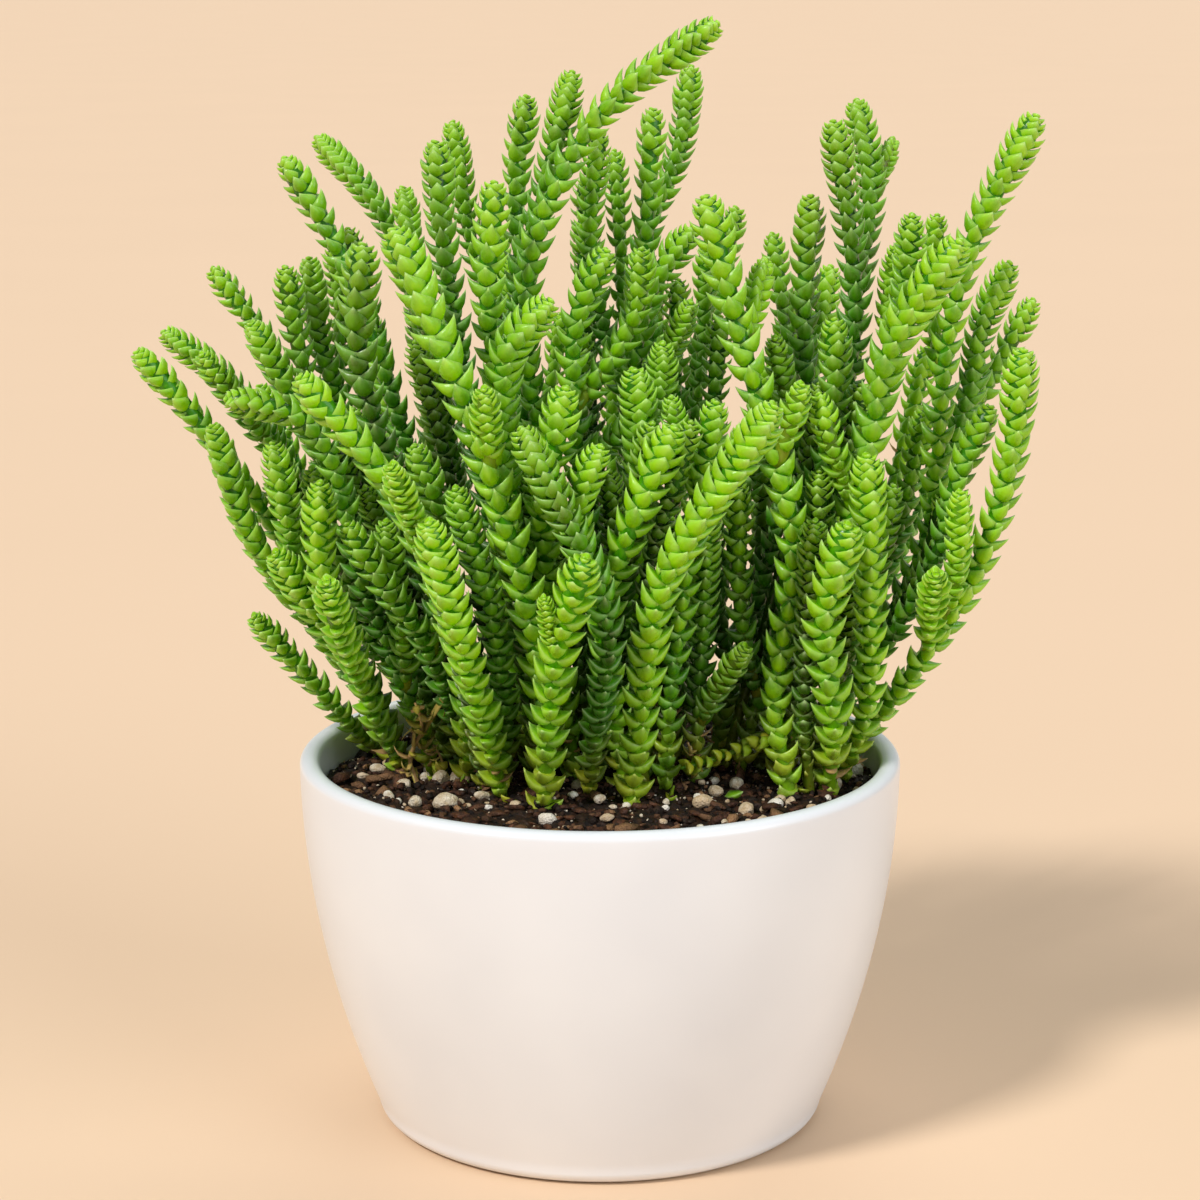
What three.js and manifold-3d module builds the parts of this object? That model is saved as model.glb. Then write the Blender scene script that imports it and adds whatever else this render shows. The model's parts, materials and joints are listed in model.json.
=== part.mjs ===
// Potted watch chain: a crowded clump of scaly green stems in a white bowl-shaped pot of soil.
// Millimetres, +Z up. The origin is the centre of the flat foot that the pot stands on,
// and the side that is usually looked at faces -Y.

import * as THREE from 'three';
import { mergeVertices } from 'three/addons/utils/BufferGeometryUtils.js';
import Module from 'manifold-3d';

const wasm = await Module();
wasm.setup();

// Pot
const potHeight = 56;
const rimRadius = 45;
const wallFlare = 12;          // how much narrower the bowl's curve is at the foot than at the rim
const footRadius = 31.3;
const footRound = 2.4;         // height of the rounded edge round the foot
const wallThickness = 3;
const floorThickness = 5;
const lipRound = 1.3;
const potSides = 32;
const wallHeights = [10, 18, 28, 40];

// Soil
const soilLevel = 51;
const soilMound = 0.8;         // how much higher the middle is than the edge
const soilRough = 0.5;
const soilRings = 3;
const soilWallHeights = [18, 40];
const soilGap = 0.35;          // between the soil's side and the pot's wall
const grainCount = 14;
const grainSize = [1.2, 2.3];  // radii of the pale grains in the top of the soil
const grainField = 36;         // they lie within this radius, in the bare front part
const grainBack = -6;
const grainSpace = 3.6;        // between a grain and the middle of a stem

// Stems
const footDepth = 5;           // how far a stem stands in its hole
const holeGap = 0.5;           // at the corners of a hole
const holeRise = 3;            // how far the cut of a hole runs on above the soil
const collarHeight = 1.6;      // bare stem between the soil's level and the lowest leaves
const footShare = 0.5;         // bare foot's half width, as a share of the leafy half width
const coreShare = 0.54;        // bare stem's half width, as a share of the leafy half width
const coreInLeaf = 0.8;        // the core never fills more than this share of the leaves' reach
const coreAtTip = 0.35;        // nor shrinks below this share of itself at the tip
const shootBare = 0.4;         // bare start of a side shoot, as a share of its stem's width
const leastReach = 0.25;       // of the half width, at the very tip
const headPitch = 2.3;         // distance between leaf pairs at the tip
const basePitch = 5.4;         // and at the foot of an old stem
const pitchGrowth = 23;        // distance from the tip over which the pitch grows
const headLength = 4.6;        // the tip is rounded off over this length
const tipFullness = 0.35;      // makes the very tip blunter
const firstPair = 1.1;         // distance of the uppermost pair of leaves from the tip
const leafLift = 3.1;          // how far a leaf's point stands above the place where it grows
const liftWidth = 6;           // on a stem of this width: less on a thinner one
const baseThinning = 0.14;     // leaves are this much shorter at the foot of a long stem
const thinningLength = 80;
const twistRange = 0.9;        // how far the leaf rows of two stems may be turned, in radians

// How the stems crowd
const sampleStep = 2.5;
const crowdGap = 0.55;         // between the leaf points of neighbouring stems
const crowdRounds = 160;
const pairRounds = 8;          // rounds between two searches for neighbours
const pairMargin = 3;          // how far beyond touching that search looks
const bendLength = 11;         // a push is shared along the stem over about this length
const pushEase = [0.55, 1, 0.35]; // stems give way most easily to the front and back
const rootStiffness = 12;      // length over which a side shoot stays stiff on its stem

// A stem has its foot [x, y] in the soil, the points [x, y, z] that it passes up to its tip, the
// width over its leaves and its tone, from 0, dark, to 1, yellow-green. A side shoot leaves its
// stem at the height `from`.
function stem(foot, path, width, tone, ...shoots) {
  return { foot, path, width, tone, shoots };
}

function shoot(from, path, width) {
  return { from, path, width };
}

const clump = {
  front: [
    stem([-8, -15], [[-6, -24, 74], [-1, -28, 92]], 6.2, 0.9, shoot(74, [[-7, -29, 86]], 3.2)),
    stem([-14, -8], [[-19, -23, 76], [-24, -27, 96]], 5.8, 0.95),
    stem([3, -11], [[6, -20, 76], [9, -23, 87], [24, -26, 112]], 6.2, 0.9),
    stem([-14, -4], [[-15, -15, 79], [-20, -18, 99]], 4.8, 0.5),
    stem([-6, -10], [[-10, -16, 82], [-17, -19, 106], [-29, -14, 135]], 6.4, 0.8,
      shoot(100, [[-16, -23, 114]], 4.6)),
    stem([-18, 2], [[-23, -17, 84], [-29, -21, 99], [-42, -20, 115]], 5.6, 0.85,
      shoot(88, [[-29, -27, 104]], 4.6)),
    stem([-2, -9], [[1, -24, 79], [-6, -25, 98], [-11, -22, 108]], 5.2, 0.3),
    stem([-4, -3], [[-9, -15, 94], [-7, -17, 104], [-5, -17, 113]], 5.8, 0.8),
    stem([4, -6], [[0, -16, 82], [3, -20, 93], [10, -20, 108]], 6, 0.8,
      shoot(78, [[-3, -21, 96], [0, -21, 105]], 5.2)),
    stem([10, -7], [[13, -12, 93], [14, -14, 101], [15, -14, 111]], 5.2, 0.6,
      shoot(96, [[11, -13, 111]], 4)),
    stem([3, 0], [[6, -11, 104], [5, -12, 115]], 5.6, 0.6),
    stem([-9, 0], [[-14, -10, 111], [-13, -12, 118], [-7, -12, 125]], 5.8, 0.7),
    stem([14, -5], [[15, -6, 80], [15, -9, 95]], 4.8, 0.3,
      shoot(60, [[17, -8, 67], [21, -11, 74]], 4.6)),
  ],
  right: [
    stem([29, -9], [[26, -10, 65], [28, -10, 89], [23, -9, 109], [19, -7, 123], [15, -6, 139]], 6, 0.85,
      shoot(99, [[29, -12, 113]], 4.6), shoot(116, [[24, 2, 129]], 4.2),
      shoot(60, [[20, -6, 57.5], [11, -9, 56]], 4)),
    stem([34, -5], [[34, -13, 66], [32, -17, 79], [35, -20, 94]], 6.4, 0.85),
    stem([36, -1], [[39, -8, 65], [39, -13, 83], [38, -14, 103]], 5.4, 0.85),
    stem([36, 4], [[45, -2, 66], [53, -5, 80], [59, -6, 98], [61, -6, 117]], 5.6, 0.9,
      shoot(74, [[52, -9, 87], [52, -10, 97]], 4.4), shoot(70, [[48, -15, 86]], 4.8)),
    stem([33, 10], [[48, 3, 89], [51, 2, 117], [54, 2, 131], [63, 2, 150]], 5.4, 0.75,
      shoot(110, [[49, 9, 123], [50, 10, 135]], 4.4)),
    stem([27, 0], [[39, -7, 104], [42, -8, 118], [51, -10, 133]], 6.2, 0.8,
      shoot(92, [[33, -10, 104], [31, -9, 111]], 4.4)),
    stem([22, 8], [[38, 4, 117], [37, 5, 132], [34, 6, 149]], 5, 0.3,
      shoot(62, [[25, 10, 84], [25, 11, 103]], 4.8)),
    stem([17, 5], [[30, 4, 105], [30, 6, 120], [31, 8, 138]], 5, 0.3,
      shoot(100, [[26, 0, 118]], 4.4), shoot(64, [[17, 8, 86], [17, 9, 106]], 4.8)),
    stem([32, 16], [[55, 10, 107], [57, 10, 118], [61, 10, 128]], 5, 0.5,
      shoot(92, [[60, 20, 110], [66, 22, 121]], 4.6), shoot(72, [[46, 9, 90], [49, 9, 106]], 4.6)),
    stem([32, 4], [[49, -1, 86], [52, -1, 97], [57, 0, 108]], 4.8, 0.5,
      shoot(66, [[43, 3, 80], [46, 4, 95]], 4.6)),
    stem([21, 1], [[34, -3, 108], [34, -2, 121]], 5, 0.4,
      shoot(62, [[21, -3, 80], [20, -4, 97]], 4.8)),
    stem([23, 20], [[41, 22, 136], [39, 26, 151]], 5, 0.4,
      shoot(136, [[45, 28, 145]], 3.6), shoot(96, [[29, 28, 116], [27, 34, 130]], 4.2)),
    stem([27, 7], [[44, 0, 121], [45, -2, 136]], 4.8, 0.6,
      shoot(112, [[42, 6, 122], [43, 5, 131]], 4)),
  ],
  crown: [
    stem([-5, 4], [[-14, -6, 108], [-16, -8, 124], [-15, -6, 141]], 5.4, 0.75),
    stem([-1, 5], [[-11, 1, 118], [-8, 2, 136], [1, 3, 151], [17, 4, 163]], 5.2, 0.7),
    stem([-5, 10], [[-12, 6, 123], [-8, 7, 139], [-4, 8, 156]], 4.8, 0.5),
    stem([-10, 6], [[-21, 4, 117], [-23, 4, 132], [-24, 6, 146]], 5.2, 0.35),
    stem([-17, 3], [[-31, -5, 99], [-35, -6, 118], [-34, -4, 132]], 6, 0.25),
    stem([5, 15], [[7, 18, 133], [8, 20, 150]], 4.8, 0.5,
      shoot(100, [[-2, 15, 130], [-1, 16, 147]], 4.4)),
    stem([5, 22], [[6, 25, 127], [12, 28, 143], [14, 30, 156]], 4.6, 0.5,
      shoot(104, [[3, 31, 131], [2, 34, 143]], 4.2)),
    stem([8, 6], [[6, 6, 115], [8, 8, 124], [14, 10, 133]], 5.2, 0.5,
      shoot(104, [[13, 3, 123]], 4.2), shoot(62, [[13, 3, 80], [17, 1, 98]], 4.8)),
    stem([1, 2], [[-4, -2, 115], [-3, -2, 122], [1, -2, 131]], 5.2, 0.55,
      shoot(106, [[5, 0, 121], [6, 0, 131]], 4.6), shoot(98, [[8, -5, 109], [9, -6, 118]], 4.6)),
    stem([-6, 16], [[-13, 16, 135], [-11, 18, 152]], 4.8, 0.55,
      shoot(108, [[-20, 19, 132], [-23, 22, 148]], 4.4)),
  ],
  left: [
    stem([-31, 13], [[-35, 3, 66], [-40, -5, 76], [-47, -9, 88]], 5.6, 0.8),
    stem([-34, 17], [[-38, 10, 60], [-43, 7, 67], [-51, 4, 76]], 4.6, 0.6),
    stem([-31, 21], [[-40, 6, 68], [-52, 0, 89], [-57, 1, 105]], 5, 0.6,
      shoot(74, [[-46, -5, 91], [-48, -5, 103]], 4.8)),
    stem([-27, 13], [[-49, 8, 88], [-59, 8, 103], [-69, 8, 115]], 5, 0.7),
    stem([-24, 3], [[-35, -4, 84], [-40, -6, 103], [-45, -7, 108], [-54, -7, 110]], 4.8, 0.5,
      shoot(64, [[-30, -6, 78], [-31, -10, 92]], 4.8)),
    stem([-26, 7], [[-36, -9, 75], [-40, -13, 86], [-40, -14, 99]], 5.2, 0.8,
      shoot(66, [[-35, -18, 80], [-36, -24, 88]], 5)),
    stem([-21, 6], [[-26, -7, 75], [-31, -10, 84], [-36, -10, 93]], 4.8, 0.35,
      shoot(72, [[-23, -9, 92], [-27, -9, 104]], 5)),
    stem([-28, 21], [[-54, 12, 107], [-66, 14, 117]], 4.6, 0.6, shoot(96, [[-59, 6, 115]], 4.4)),
    stem([-24, 8], [[-44, 3, 105], [-51, 2, 120]], 5, 0.5,
      shoot(94, [[-45, 8, 113], [-47, 8, 127]], 4.8), shoot(66, [[-37, 3, 84], [-42, 2, 99]], 4.8)),
    stem([-21, 15], [[-42, 14, 114], [-44, 16, 128]], 4.8, 0.35,
      shoot(104, [[-40, 23, 120], [-41, 24, 129]], 4), shoot(66, [[-33, 12, 88], [-38, 10, 106]], 4.8)),
    stem([-15, 11], [[-34, 8, 117], [-39, 10, 130], [-47, 14, 143]], 5, 0.55),
    stem([-24, 25], [[-50, 17, 114], [-59, 20, 126]], 4.4, 0.6),
    stem([-14, 23], [[-33, 29, 132], [-44, 34, 145]], 4.4, 0.6,
      shoot(106, [[-28, 21, 124], [-30, 24, 138]], 4.4)),
  ],
  back: [
    stem([-21, 29], [[-33, 41, 96], [-38, 46, 117]], 4.8, 0.5,
      shoot(74, [[-27, 34, 100], [-29, 36, 122]], 4.6)),
    stem([-9, 30], [[-15, 43, 104], [-17, 49, 130]], 5, 0.6,
      shoot(90, [[-8, 47, 104], [-6, 48, 116]], 4.4), shoot(82, [[-14, 37, 108], [-14, 38, 126]], 4.4)),
    stem([0, 34], [[3, 48, 92], [6, 55, 112]], 5.2, 0.7, shoot(70, [[2, 41, 94], [2, 43, 112]], 4.6)),
    stem([9, 30], [[15, 42, 106], [22, 48, 133]], 5, 0.5,
      shoot(96, [[10, 48, 110], [9, 50, 122]], 4.4), shoot(84, [[16, 36, 108], [17, 37, 128]], 4.4)),
    stem([19, 28], [[32, 38, 98], [37, 44, 124]], 5, 0.6,
      shoot(76, [[27, 33, 100], [30, 34, 121]], 4.6)),
    stem([27, 23], [[45, 30, 88], [52, 36, 112]], 4.8, 0.7,
      shoot(68, [[38, 33, 88], [42, 37, 106]], 4.6)),
    stem([-29, 26], [[-45, 31, 86], [-54, 35, 106]], 4.8, 0.6),
    stem([-15, 35], [[-22, 48, 80], [-27, 55, 97]], 5, 0.8),
    stem([14, 35], [[19, 49, 80], [24, 57, 96]], 5, 0.8),
  ],
};

const stems = Object.entries(clump).flatMap(([side, list]) => (
  list.map((entry, i) => ({ ...entry, name: `stem_${side}_${i + 1}` }))
));

const roughOf = { pot: 0.28, soil: 0.95, stem: 0.45 };
const potColour = 0xf2efec;
const soilColour = 0x4a3224;
const darkLeaf = new THREE.Color(0x2f7a1e);
const brightLeaf = new THREE.Color(0x8cc63a);

// A repeatable draw between 0 and 1
function drawer(seed) {
  let state = seed;
  return () => {
    state = (state * 1664525 + 1013904223) % 4294967296;
    return state / 4294967296;
  };
}

function finish(name, geometry, colour, roughness) {
  const material = new THREE.MeshStandardMaterial({ color: colour, roughness, metalness: 0 });
  const mesh = new THREE.Mesh(geometry, material);
  mesh.name = name;
  return mesh;
}

function toSolid(geometry) {
  const bare = geometry.clone();
  bare.deleteAttribute('normal');
  bare.deleteAttribute('uv');
  const merged = mergeVertices(bare, 1e-4);
  const vertProperties = new Float32Array(merged.attributes.position.array);
  const triVerts = new Uint32Array(merged.index.array);
  return new wasm.Manifold(new wasm.Mesh({ numProp: 3, vertProperties, triVerts }));
}

function toGeometry(solid) {
  const mesh = solid.getMesh();
  const geometry = new THREE.BufferGeometry();
  geometry.setAttribute('position', new THREE.BufferAttribute(new Float32Array(mesh.vertProperties), 3));
  geometry.setIndex(new THREE.BufferAttribute(new Uint32Array(mesh.triVerts), 1));
  geometry.computeVertexNormals();
  return geometry;
}

// The bowl's wall is a parabola that stands upright at the rim
function wallRadius(z, thickness) {
  const down = 1 - z / potHeight;
  return rimRadius - thickness - wallFlare * down * down;
}

function potOutline() {
  const points = [new THREE.Vector2(0, 0)];
  const edgeSteps = 3;
  const edgeRadius = wallRadius(footRound, 0);
  for (let i = 0; i <= edgeSteps; i++) {
    const turn = (i / edgeSteps) * Math.PI / 2;
    const r = footRadius + (edgeRadius - footRadius) * Math.sin(turn);
    points.push(new THREE.Vector2(r, footRound * (1 - Math.cos(turn))));
  }
  for (const z of [...wallHeights, potHeight - lipRound]) {
    points.push(new THREE.Vector2(wallRadius(z, 0), z));
  }
  const lipSteps = 4;
  const lipMiddle = rimRadius - wallThickness / 2;
  for (let i = 1; i < lipSteps; i++) {
    const turn = (i / lipSteps) * Math.PI;
    points.push(new THREE.Vector2(
      lipMiddle + (wallThickness / 2) * Math.cos(turn),
      potHeight - lipRound + lipRound * Math.sin(turn),
    ));
  }
  for (const z of [...wallHeights, potHeight - lipRound].reverse()) {
    points.push(new THREE.Vector2(wallRadius(z, wallThickness), z));
  }
  points.push(new THREE.Vector2(wallRadius(floorThickness, wallThickness) - footRound, floorThickness));
  points.push(new THREE.Vector2(0, floorThickness));
  return points;
}

function lathe(points, sides) {
  const geometry = new THREE.LatheGeometry(points, sides);
  geometry.rotateX(Math.PI / 2);
  return geometry;
}

function makePot() {
  return toGeometry(toSolid(lathe(potOutline(), potSides)));
}

// The soil fills the bowl. Its top is a little mounded and uneven.
function soilHeight(x, y) {
  const r = Math.hypot(x, y) / rimRadius;
  const swell = Math.sin(x * 0.31 + 1.3) * Math.cos(y * 0.27) + 0.6 * Math.sin(x * 0.83 + y * 0.71);
  return soilLevel + soilMound * (1 - 2 * r * r) + soilRough * 0.5 * swell;
}

function makeSoilBody() {
  const outline = [new THREE.Vector2(0, floorThickness + soilGap)];
  outline.push(new THREE.Vector2(
    wallRadius(floorThickness, wallThickness) - footRound - soilGap, floorThickness + soilGap));
  for (const z of soilWallHeights) {
    outline.push(new THREE.Vector2(wallRadius(z, wallThickness) - soilGap, z));
  }
  const edge = wallRadius(soilLevel, wallThickness) - soilGap;
  for (let i = soilRings; i >= 0; i--) {
    outline.push(new THREE.Vector2((edge * i) / soilRings, soilLevel));
  }
  const geometry = lathe(outline, potSides);
  const position = geometry.attributes.position;
  for (let i = 0; i < position.count; i++) {
    if (position.getZ(i) > soilWallHeights.at(-1) + 1) {
      position.setZ(i, soilHeight(position.getX(i), position.getY(i)));
    }
  }
  return toSolid(geometry);
}

function soilGrains(feet) {
  const draw = drawer(77);
  const grains = [];
  while (grains.length < grainCount) {
    const angle = draw() * 2 * Math.PI;
    const r = grainField * Math.sqrt(draw());
    const radius = THREE.MathUtils.lerp(grainSize[0], grainSize[1], draw());
    const spin = draw() * Math.PI;
    const x = r * Math.cos(angle);
    const y = r * Math.sin(angle);
    const clear = feet.every((foot) => Math.hypot(foot.x - x, foot.y - y) > radius + grainSpace)
      && grains.every((other) => Math.hypot(other.x - x, other.y - y) > radius + other.radius);
    if (y < grainBack && clear) {
      grains.push({ x, y, radius, spin });
    }
  }
  return grains.map((grain) => {
    const geometry = new THREE.OctahedronGeometry(grain.radius, 0);
    geometry.scale(1, 0.85, 0.8);
    geometry.rotateZ(grain.spin);
    geometry.translate(grain.x, grain.y, soilHeight(grain.x, grain.y));
    return toSolid(geometry);
  });
}

function vector(list) {
  return new THREE.Vector3(list[0], list[1], list[2]);
}

function spread(points) {
  const curve = new THREE.CatmullRomCurve3(points, false, 'centripetal');
  const steps = Math.max(3, Math.round(curve.getLength() / sampleStep));
  return curve.getSpacedPoints(steps);
}

// The share of the full width that the leaves have near the rounded tip
function headShape(fromTip) {
  const along = Math.min(1, Math.max(0, fromTip / headLength));
  return Math.sqrt(1 - (1 - along) * (1 - along));
}

// A strand is a stem or a side shoot: points along its middle, and how far its leaves reach at each
function makeStrand(node, points, width, parent, anchor) {
  const at = spread(points);
  const step = at[0].distanceTo(at[1]);
  const fromTip = (i) => (at.length - 1 - i) * step;
  const reach = at.map((point, i) => (width / 2) * Math.max(leastReach, headShape(fromTip(i))));
  return { node, at, reach, step, width, parent, anchor };
}

function plant() {
  const strands = [];
  stems.forEach((entry, node) => {
    const [x, y] = entry.foot;
    const points = [new THREE.Vector3(x, y, soilLevel - footDepth), new THREE.Vector3(x, y, soilLevel)];
    points.push(...entry.path.map(vector));
    const main = makeStrand(node, points, entry.width, null, 0);
    strands.push(main);
    for (const side of entry.shoots) {
      const anchor = main.at.findIndex((point, i) => i > 2 && point.z >= side.from);
      const route = [main.at[anchor].clone(), ...side.path.map(vector)];
      strands.push(makeStrand(node, route, side.width, main, anchor));
    }
  });
  return strands;
}

function samplesOf(strands) {
  const samples = [];
  strands.forEach((strand, s) => {
    strand.at.forEach((point, i) => {
      const length = i * strand.step;
      const rooted = strand.parent !== null && length < strand.width + strand.parent.width;
      samples.push({ strand, s, i, point, reach: strand.reach[i], rooted, push: new THREE.Vector3() });
    });
  });
  return samples;
}

// A side shoot touches its own stem near its root
function mayTouch(a, b) {
  if (a.s === b.s) return true;
  if (a.strand.node !== b.strand.node) return false;
  return a.rooted || b.rooted;
}

function neighbours(samples, margin) {
  const pairs = [];
  for (let a = 0; a < samples.length; a++) {
    for (let b = a + 1; b < samples.length; b++) {
      const near = samples[a].reach + samples[b].reach + margin;
      if (samples[a].point.distanceToSquared(samples[b].point) < near * near
        && !mayTouch(samples[a], samples[b])) {
        pairs.push([samples[a], samples[b]]);
      }
    }
  }
  return pairs;
}

// Two samples that are too near push each other aside
function pushApart(a, b) {
  const need = a.reach + b.reach + crowdGap;
  const between = b.point.clone().sub(a.point);
  const distance = between.length();
  if (distance >= need) return;
  const way = between.clone().multiply(vector(pushEase)).divideScalar(distance);
  const effect = way.dot(between) / distance;
  way.multiplyScalar((need - distance) / 2 / effect);
  a.push.sub(way);
  b.push.add(way);
}

// The pot's lip is a ring that stems bend round, and a leaning stem stays above the soil
function keepOffPot(sample) {
  const { point, reach, push } = sample;
  const ringRadius = rimRadius - wallThickness / 2;
  const ringHeight = potHeight - wallThickness / 2;
  const r = Math.hypot(point.x, point.y);
  const outward = r - ringRadius;
  const upward = point.z - ringHeight;
  const distance = Math.hypot(outward, upward);
  const need = reach + wallThickness / 2 + crowdGap;
  if (distance < need) {
    const amount = (need - distance) / distance;
    push.x += (point.x / r) * outward * amount;
    push.y += (point.y / r) * outward * amount;
    push.z += upward * amount;
  }
  const rootSamples = sample.strand.parent !== null ? 1 : 5;
  const lowest = soilLevel + soilMound + soilRough + crowdGap + reach;
  if (sample.i > rootSamples && point.z < lowest && r < rimRadius) {
    push.z += lowest - point.z;
  }
}

// How a push at one sample moves its neighbours on the strand
function shareOf(strand) {
  const count = strand.at.length;
  const shares = [];
  for (let i = 0; i < count; i++) {
    const row = [];
    for (let j = 0; j < count; j++) {
      const apart = ((i - j) * strand.step) / bendLength;
      row.push(Math.exp(-0.5 * apart * apart));
    }
    const sum = row.reduce((total, value) => total + value, 0);
    const stiff = strand.parent === null ? 1 : Math.min(1, (i * strand.step) / rootStiffness);
    shares.push(row.map((value) => (value / sum) * stiff));
  }
  return shares;
}

// The crowded strands bend one another aside until their leaves are clear
function settle(strands) {
  const samples = samplesOf(strands);
  const shares = strands.map(shareOf);
  const rows = strands.map((strand, s) => samples.filter((sample) => sample.s === s));
  let pairs = [];
  for (let round = 0; round < crowdRounds; round++) {
    if (round % pairRounds === 0) {
      pairs = neighbours(samples, crowdGap + pairMargin);
    }
    for (const sample of samples) {
      sample.push.set(0, 0, 0);
    }
    for (const [a, b] of pairs) {
      pushApart(a, b);
    }
    samples.forEach(keepOffPot);
    strands.forEach((strand, s) => {
      const row = rows[s];
      const moves = row.map((_, i) => {
        const move = new THREE.Vector3();
        row.forEach((sample, j) => move.addScaledVector(sample.push, shares[s][i][j]));
        return move;
      });
      row.forEach((sample, i) => sample.point.add(moves[i]));
      if (strand.parent !== null) {
        const slip = strand.parent.at[strand.anchor].clone().sub(strand.at[0]);
        row.forEach((sample) => sample.point.add(slip));
      }
    });
  }
  return samples;
}

// Where two stems still stand too close, their leaves are pressed shorter
function pressLeaves(samples) {
  for (const sample of samples) {
    sample.room = sample.reach;
  }
  for (const [a, b] of neighbours(samples, crowdGap)) {
    const share = (a.point.distanceTo(b.point) - crowdGap) / (a.reach + b.reach);
    a.room = Math.min(a.room, share * a.reach);
    b.room = Math.min(b.room, share * b.reach);
  }
}

// A stem's skin: one ring of four corners for each pair of leaves. In every ring two corners are the
// points of leaves, out and up, and two are the hollows between them, and the next ring is turned by
// a quarter, so that every leaf is a pointed scale with four faces.
function skin(rings) {
  const corners = [];
  const faces = [];
  for (const ring of rings) {
    corners.push(...ring);
  }
  const last = rings.length - 1;
  const bottom = corners.length;
  const middle = new THREE.Vector3();
  rings[0].forEach((corner) => middle.addScaledVector(corner, 0.25));
  corners.push(middle);
  const top = corners.length;
  corners.push(rings.apex);
  for (let j = 0; j < 4; j++) {
    const next = (j + 1) % 4;
    faces.push([bottom, next, j]);
    faces.push([top, last * 4 + j, last * 4 + next]);
    for (let k = 0; k < last; k++) {
      const a = k * 4 + j;
      const b = k * 4 + next;
      const c = (k + 1) * 4 + next;
      const d = (k + 1) * 4 + j;
      if (rings.leafy(k, j)) {
        faces.push([a, b, d], [b, c, d]);
      } else {
        faces.push([a, b, c], [a, c, d]);
      }
    }
  }
  const geometry = new THREE.BufferGeometry();
  const position = new Float32Array(corners.flatMap((corner) => corner.toArray()));
  geometry.setAttribute('position', new THREE.BufferAttribute(position, 3));
  geometry.setIndex(faces.flat());
  return geometry;
}

// The place, direction and side of a point at a length along a strand
function measure(strand) {
  const curve = new THREE.CatmullRomCurve3(strand.at, false, 'centripetal');
  const length = curve.getLength();
  const steps = 2 * strand.at.length;
  const marks = [];
  let side = new THREE.Vector3(1, 0, 0);
  for (let i = 0; i <= steps; i++) {
    const point = curve.getPointAt(i / steps);
    const along = curve.getTangentAt(i / steps);
    side = side.clone().addScaledVector(along, -side.dot(along)).normalize();
    marks.push({ point, along, side });
  }
  return { length, marks, steps };
}

function locate(line, distance) {
  const place = Math.min(Math.max(distance / line.length, 0), 1) * line.steps;
  const i = Math.min(Math.floor(place), line.steps - 1);
  const share = place - i;
  const point = line.marks[i].point.clone().lerp(line.marks[i + 1].point, share);
  const along = line.marks[i].along.clone().lerp(line.marks[i + 1].along, share).normalize();
  const side = line.marks[i].side.clone().lerp(line.marks[i + 1].side, share);
  side.addScaledVector(along, -side.dot(along)).normalize();
  const across = along.clone().cross(side);
  return { point, along, side, across };
}

function roomAt(strand, line, distance) {
  const place = (distance / line.length) * (strand.room.length - 1);
  const i = Math.min(Math.max(Math.floor(place), 0), strand.room.length - 2);
  const share = Math.min(Math.max(place - i, 0), 1);
  return strand.room[i] * (1 - share) + strand.room[i + 1] * share;
}

function corner(frame, angle, radius, lift) {
  return frame.point.clone()
    .addScaledVector(frame.side, Math.cos(angle) * radius)
    .addScaledVector(frame.across, Math.sin(angle) * radius)
    .addScaledVector(frame.along, lift);
}

function square(frame, twist, radius, lift) {
  return [0, 1, 2, 3].map((j) => corner(frame, twist + j * Math.PI / 2, radius, lift));
}

// Where the pairs of leaves grow, from the foot to the tip: close together at the tip
function leafPlaces(length, bare) {
  const places = [];
  let fromTip = firstPair;
  while (length - fromTip > bare) {
    places.push(length - fromTip);
    fromTip += headPitch + (basePitch - headPitch) * (1 - Math.exp(-fromTip / pitchGrowth));
  }
  return places.reverse();
}

function makeLeafyStem(strand, twist) {
  const line = measure(strand);
  const rooted = strand.parent !== null;
  const bare = rooted ? strand.parent.width * shootBare : footDepth + collarHeight;
  const core = (strand.width / 2) * coreShare;
  const slim = (strand.width / 2) * footShare;
  const places = leafPlaces(line.length, bare + headPitch);
  const rings = [0, bare].map((distance) => square(locate(line, distance), twist, slim, 0));
  const plainCount = rings.length;
  const parity = places.length % 2;
  places.forEach((distance, k) => {
    const fromTip = line.length - distance;
    const frame = locate(line, distance);
    const lift = Math.min(leafLift * (strand.width / liftWidth), fromTip / 2);
    const point = locate(line, distance + lift);
    const age = 1 - baseThinning * Math.min(1, fromTip / thinningLength);
    const full = (strand.width / 2) * headShape(fromTip - lift + tipFullness) * age;
    const reach = Math.min(full, roomAt(strand, line, distance + lift), roomAt(strand, line, distance));
    const inner = Math.min(core, reach * coreInLeaf) * Math.max(coreAtTip, headShape(fromTip));
    const ring = [0, 1, 2, 3].map((j) => {
      const angle = twist + j * Math.PI / 2;
      const leafy = (j + k + parity) % 2 === 0;
      return leafy ? corner(point, angle, reach, 0) : corner(frame, angle, inner, 0);
    });
    rings.push(ring);
  });
  rings.apex = locate(line, line.length).point;
  rings.leafy = (k, j) => k >= plainCount && (j + k - plainCount + parity) % 2 === 0;
  return skin(rings);
}

// The hole that a stem stands in runs a little deeper than its foot
function makeHole(strand, twist) {
  const line = measure(strand);
  const core = (strand.width / 2) * footShare + holeGap;
  const low = locate(line, 0);
  const high = locate(line, footDepth + collarHeight);
  high.along = high.point.clone().sub(low.point).normalize();
  low.along = high.along;
  const rings = [square(low, twist, core, -holeGap), square(high, twist, core, holeRise)];
  rings.apex = corner(high, 0, 0, holeRise + holeGap);
  rings.leafy = () => false;
  return skin(rings);
}

const group = new THREE.Group();
const strands = plant();
const samples = settle(strands);
pressLeaves(samples);
strands.forEach((strand, s) => {
  strand.room = samples.filter((sample) => sample.s === s).map((sample) => sample.room);
});

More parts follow.
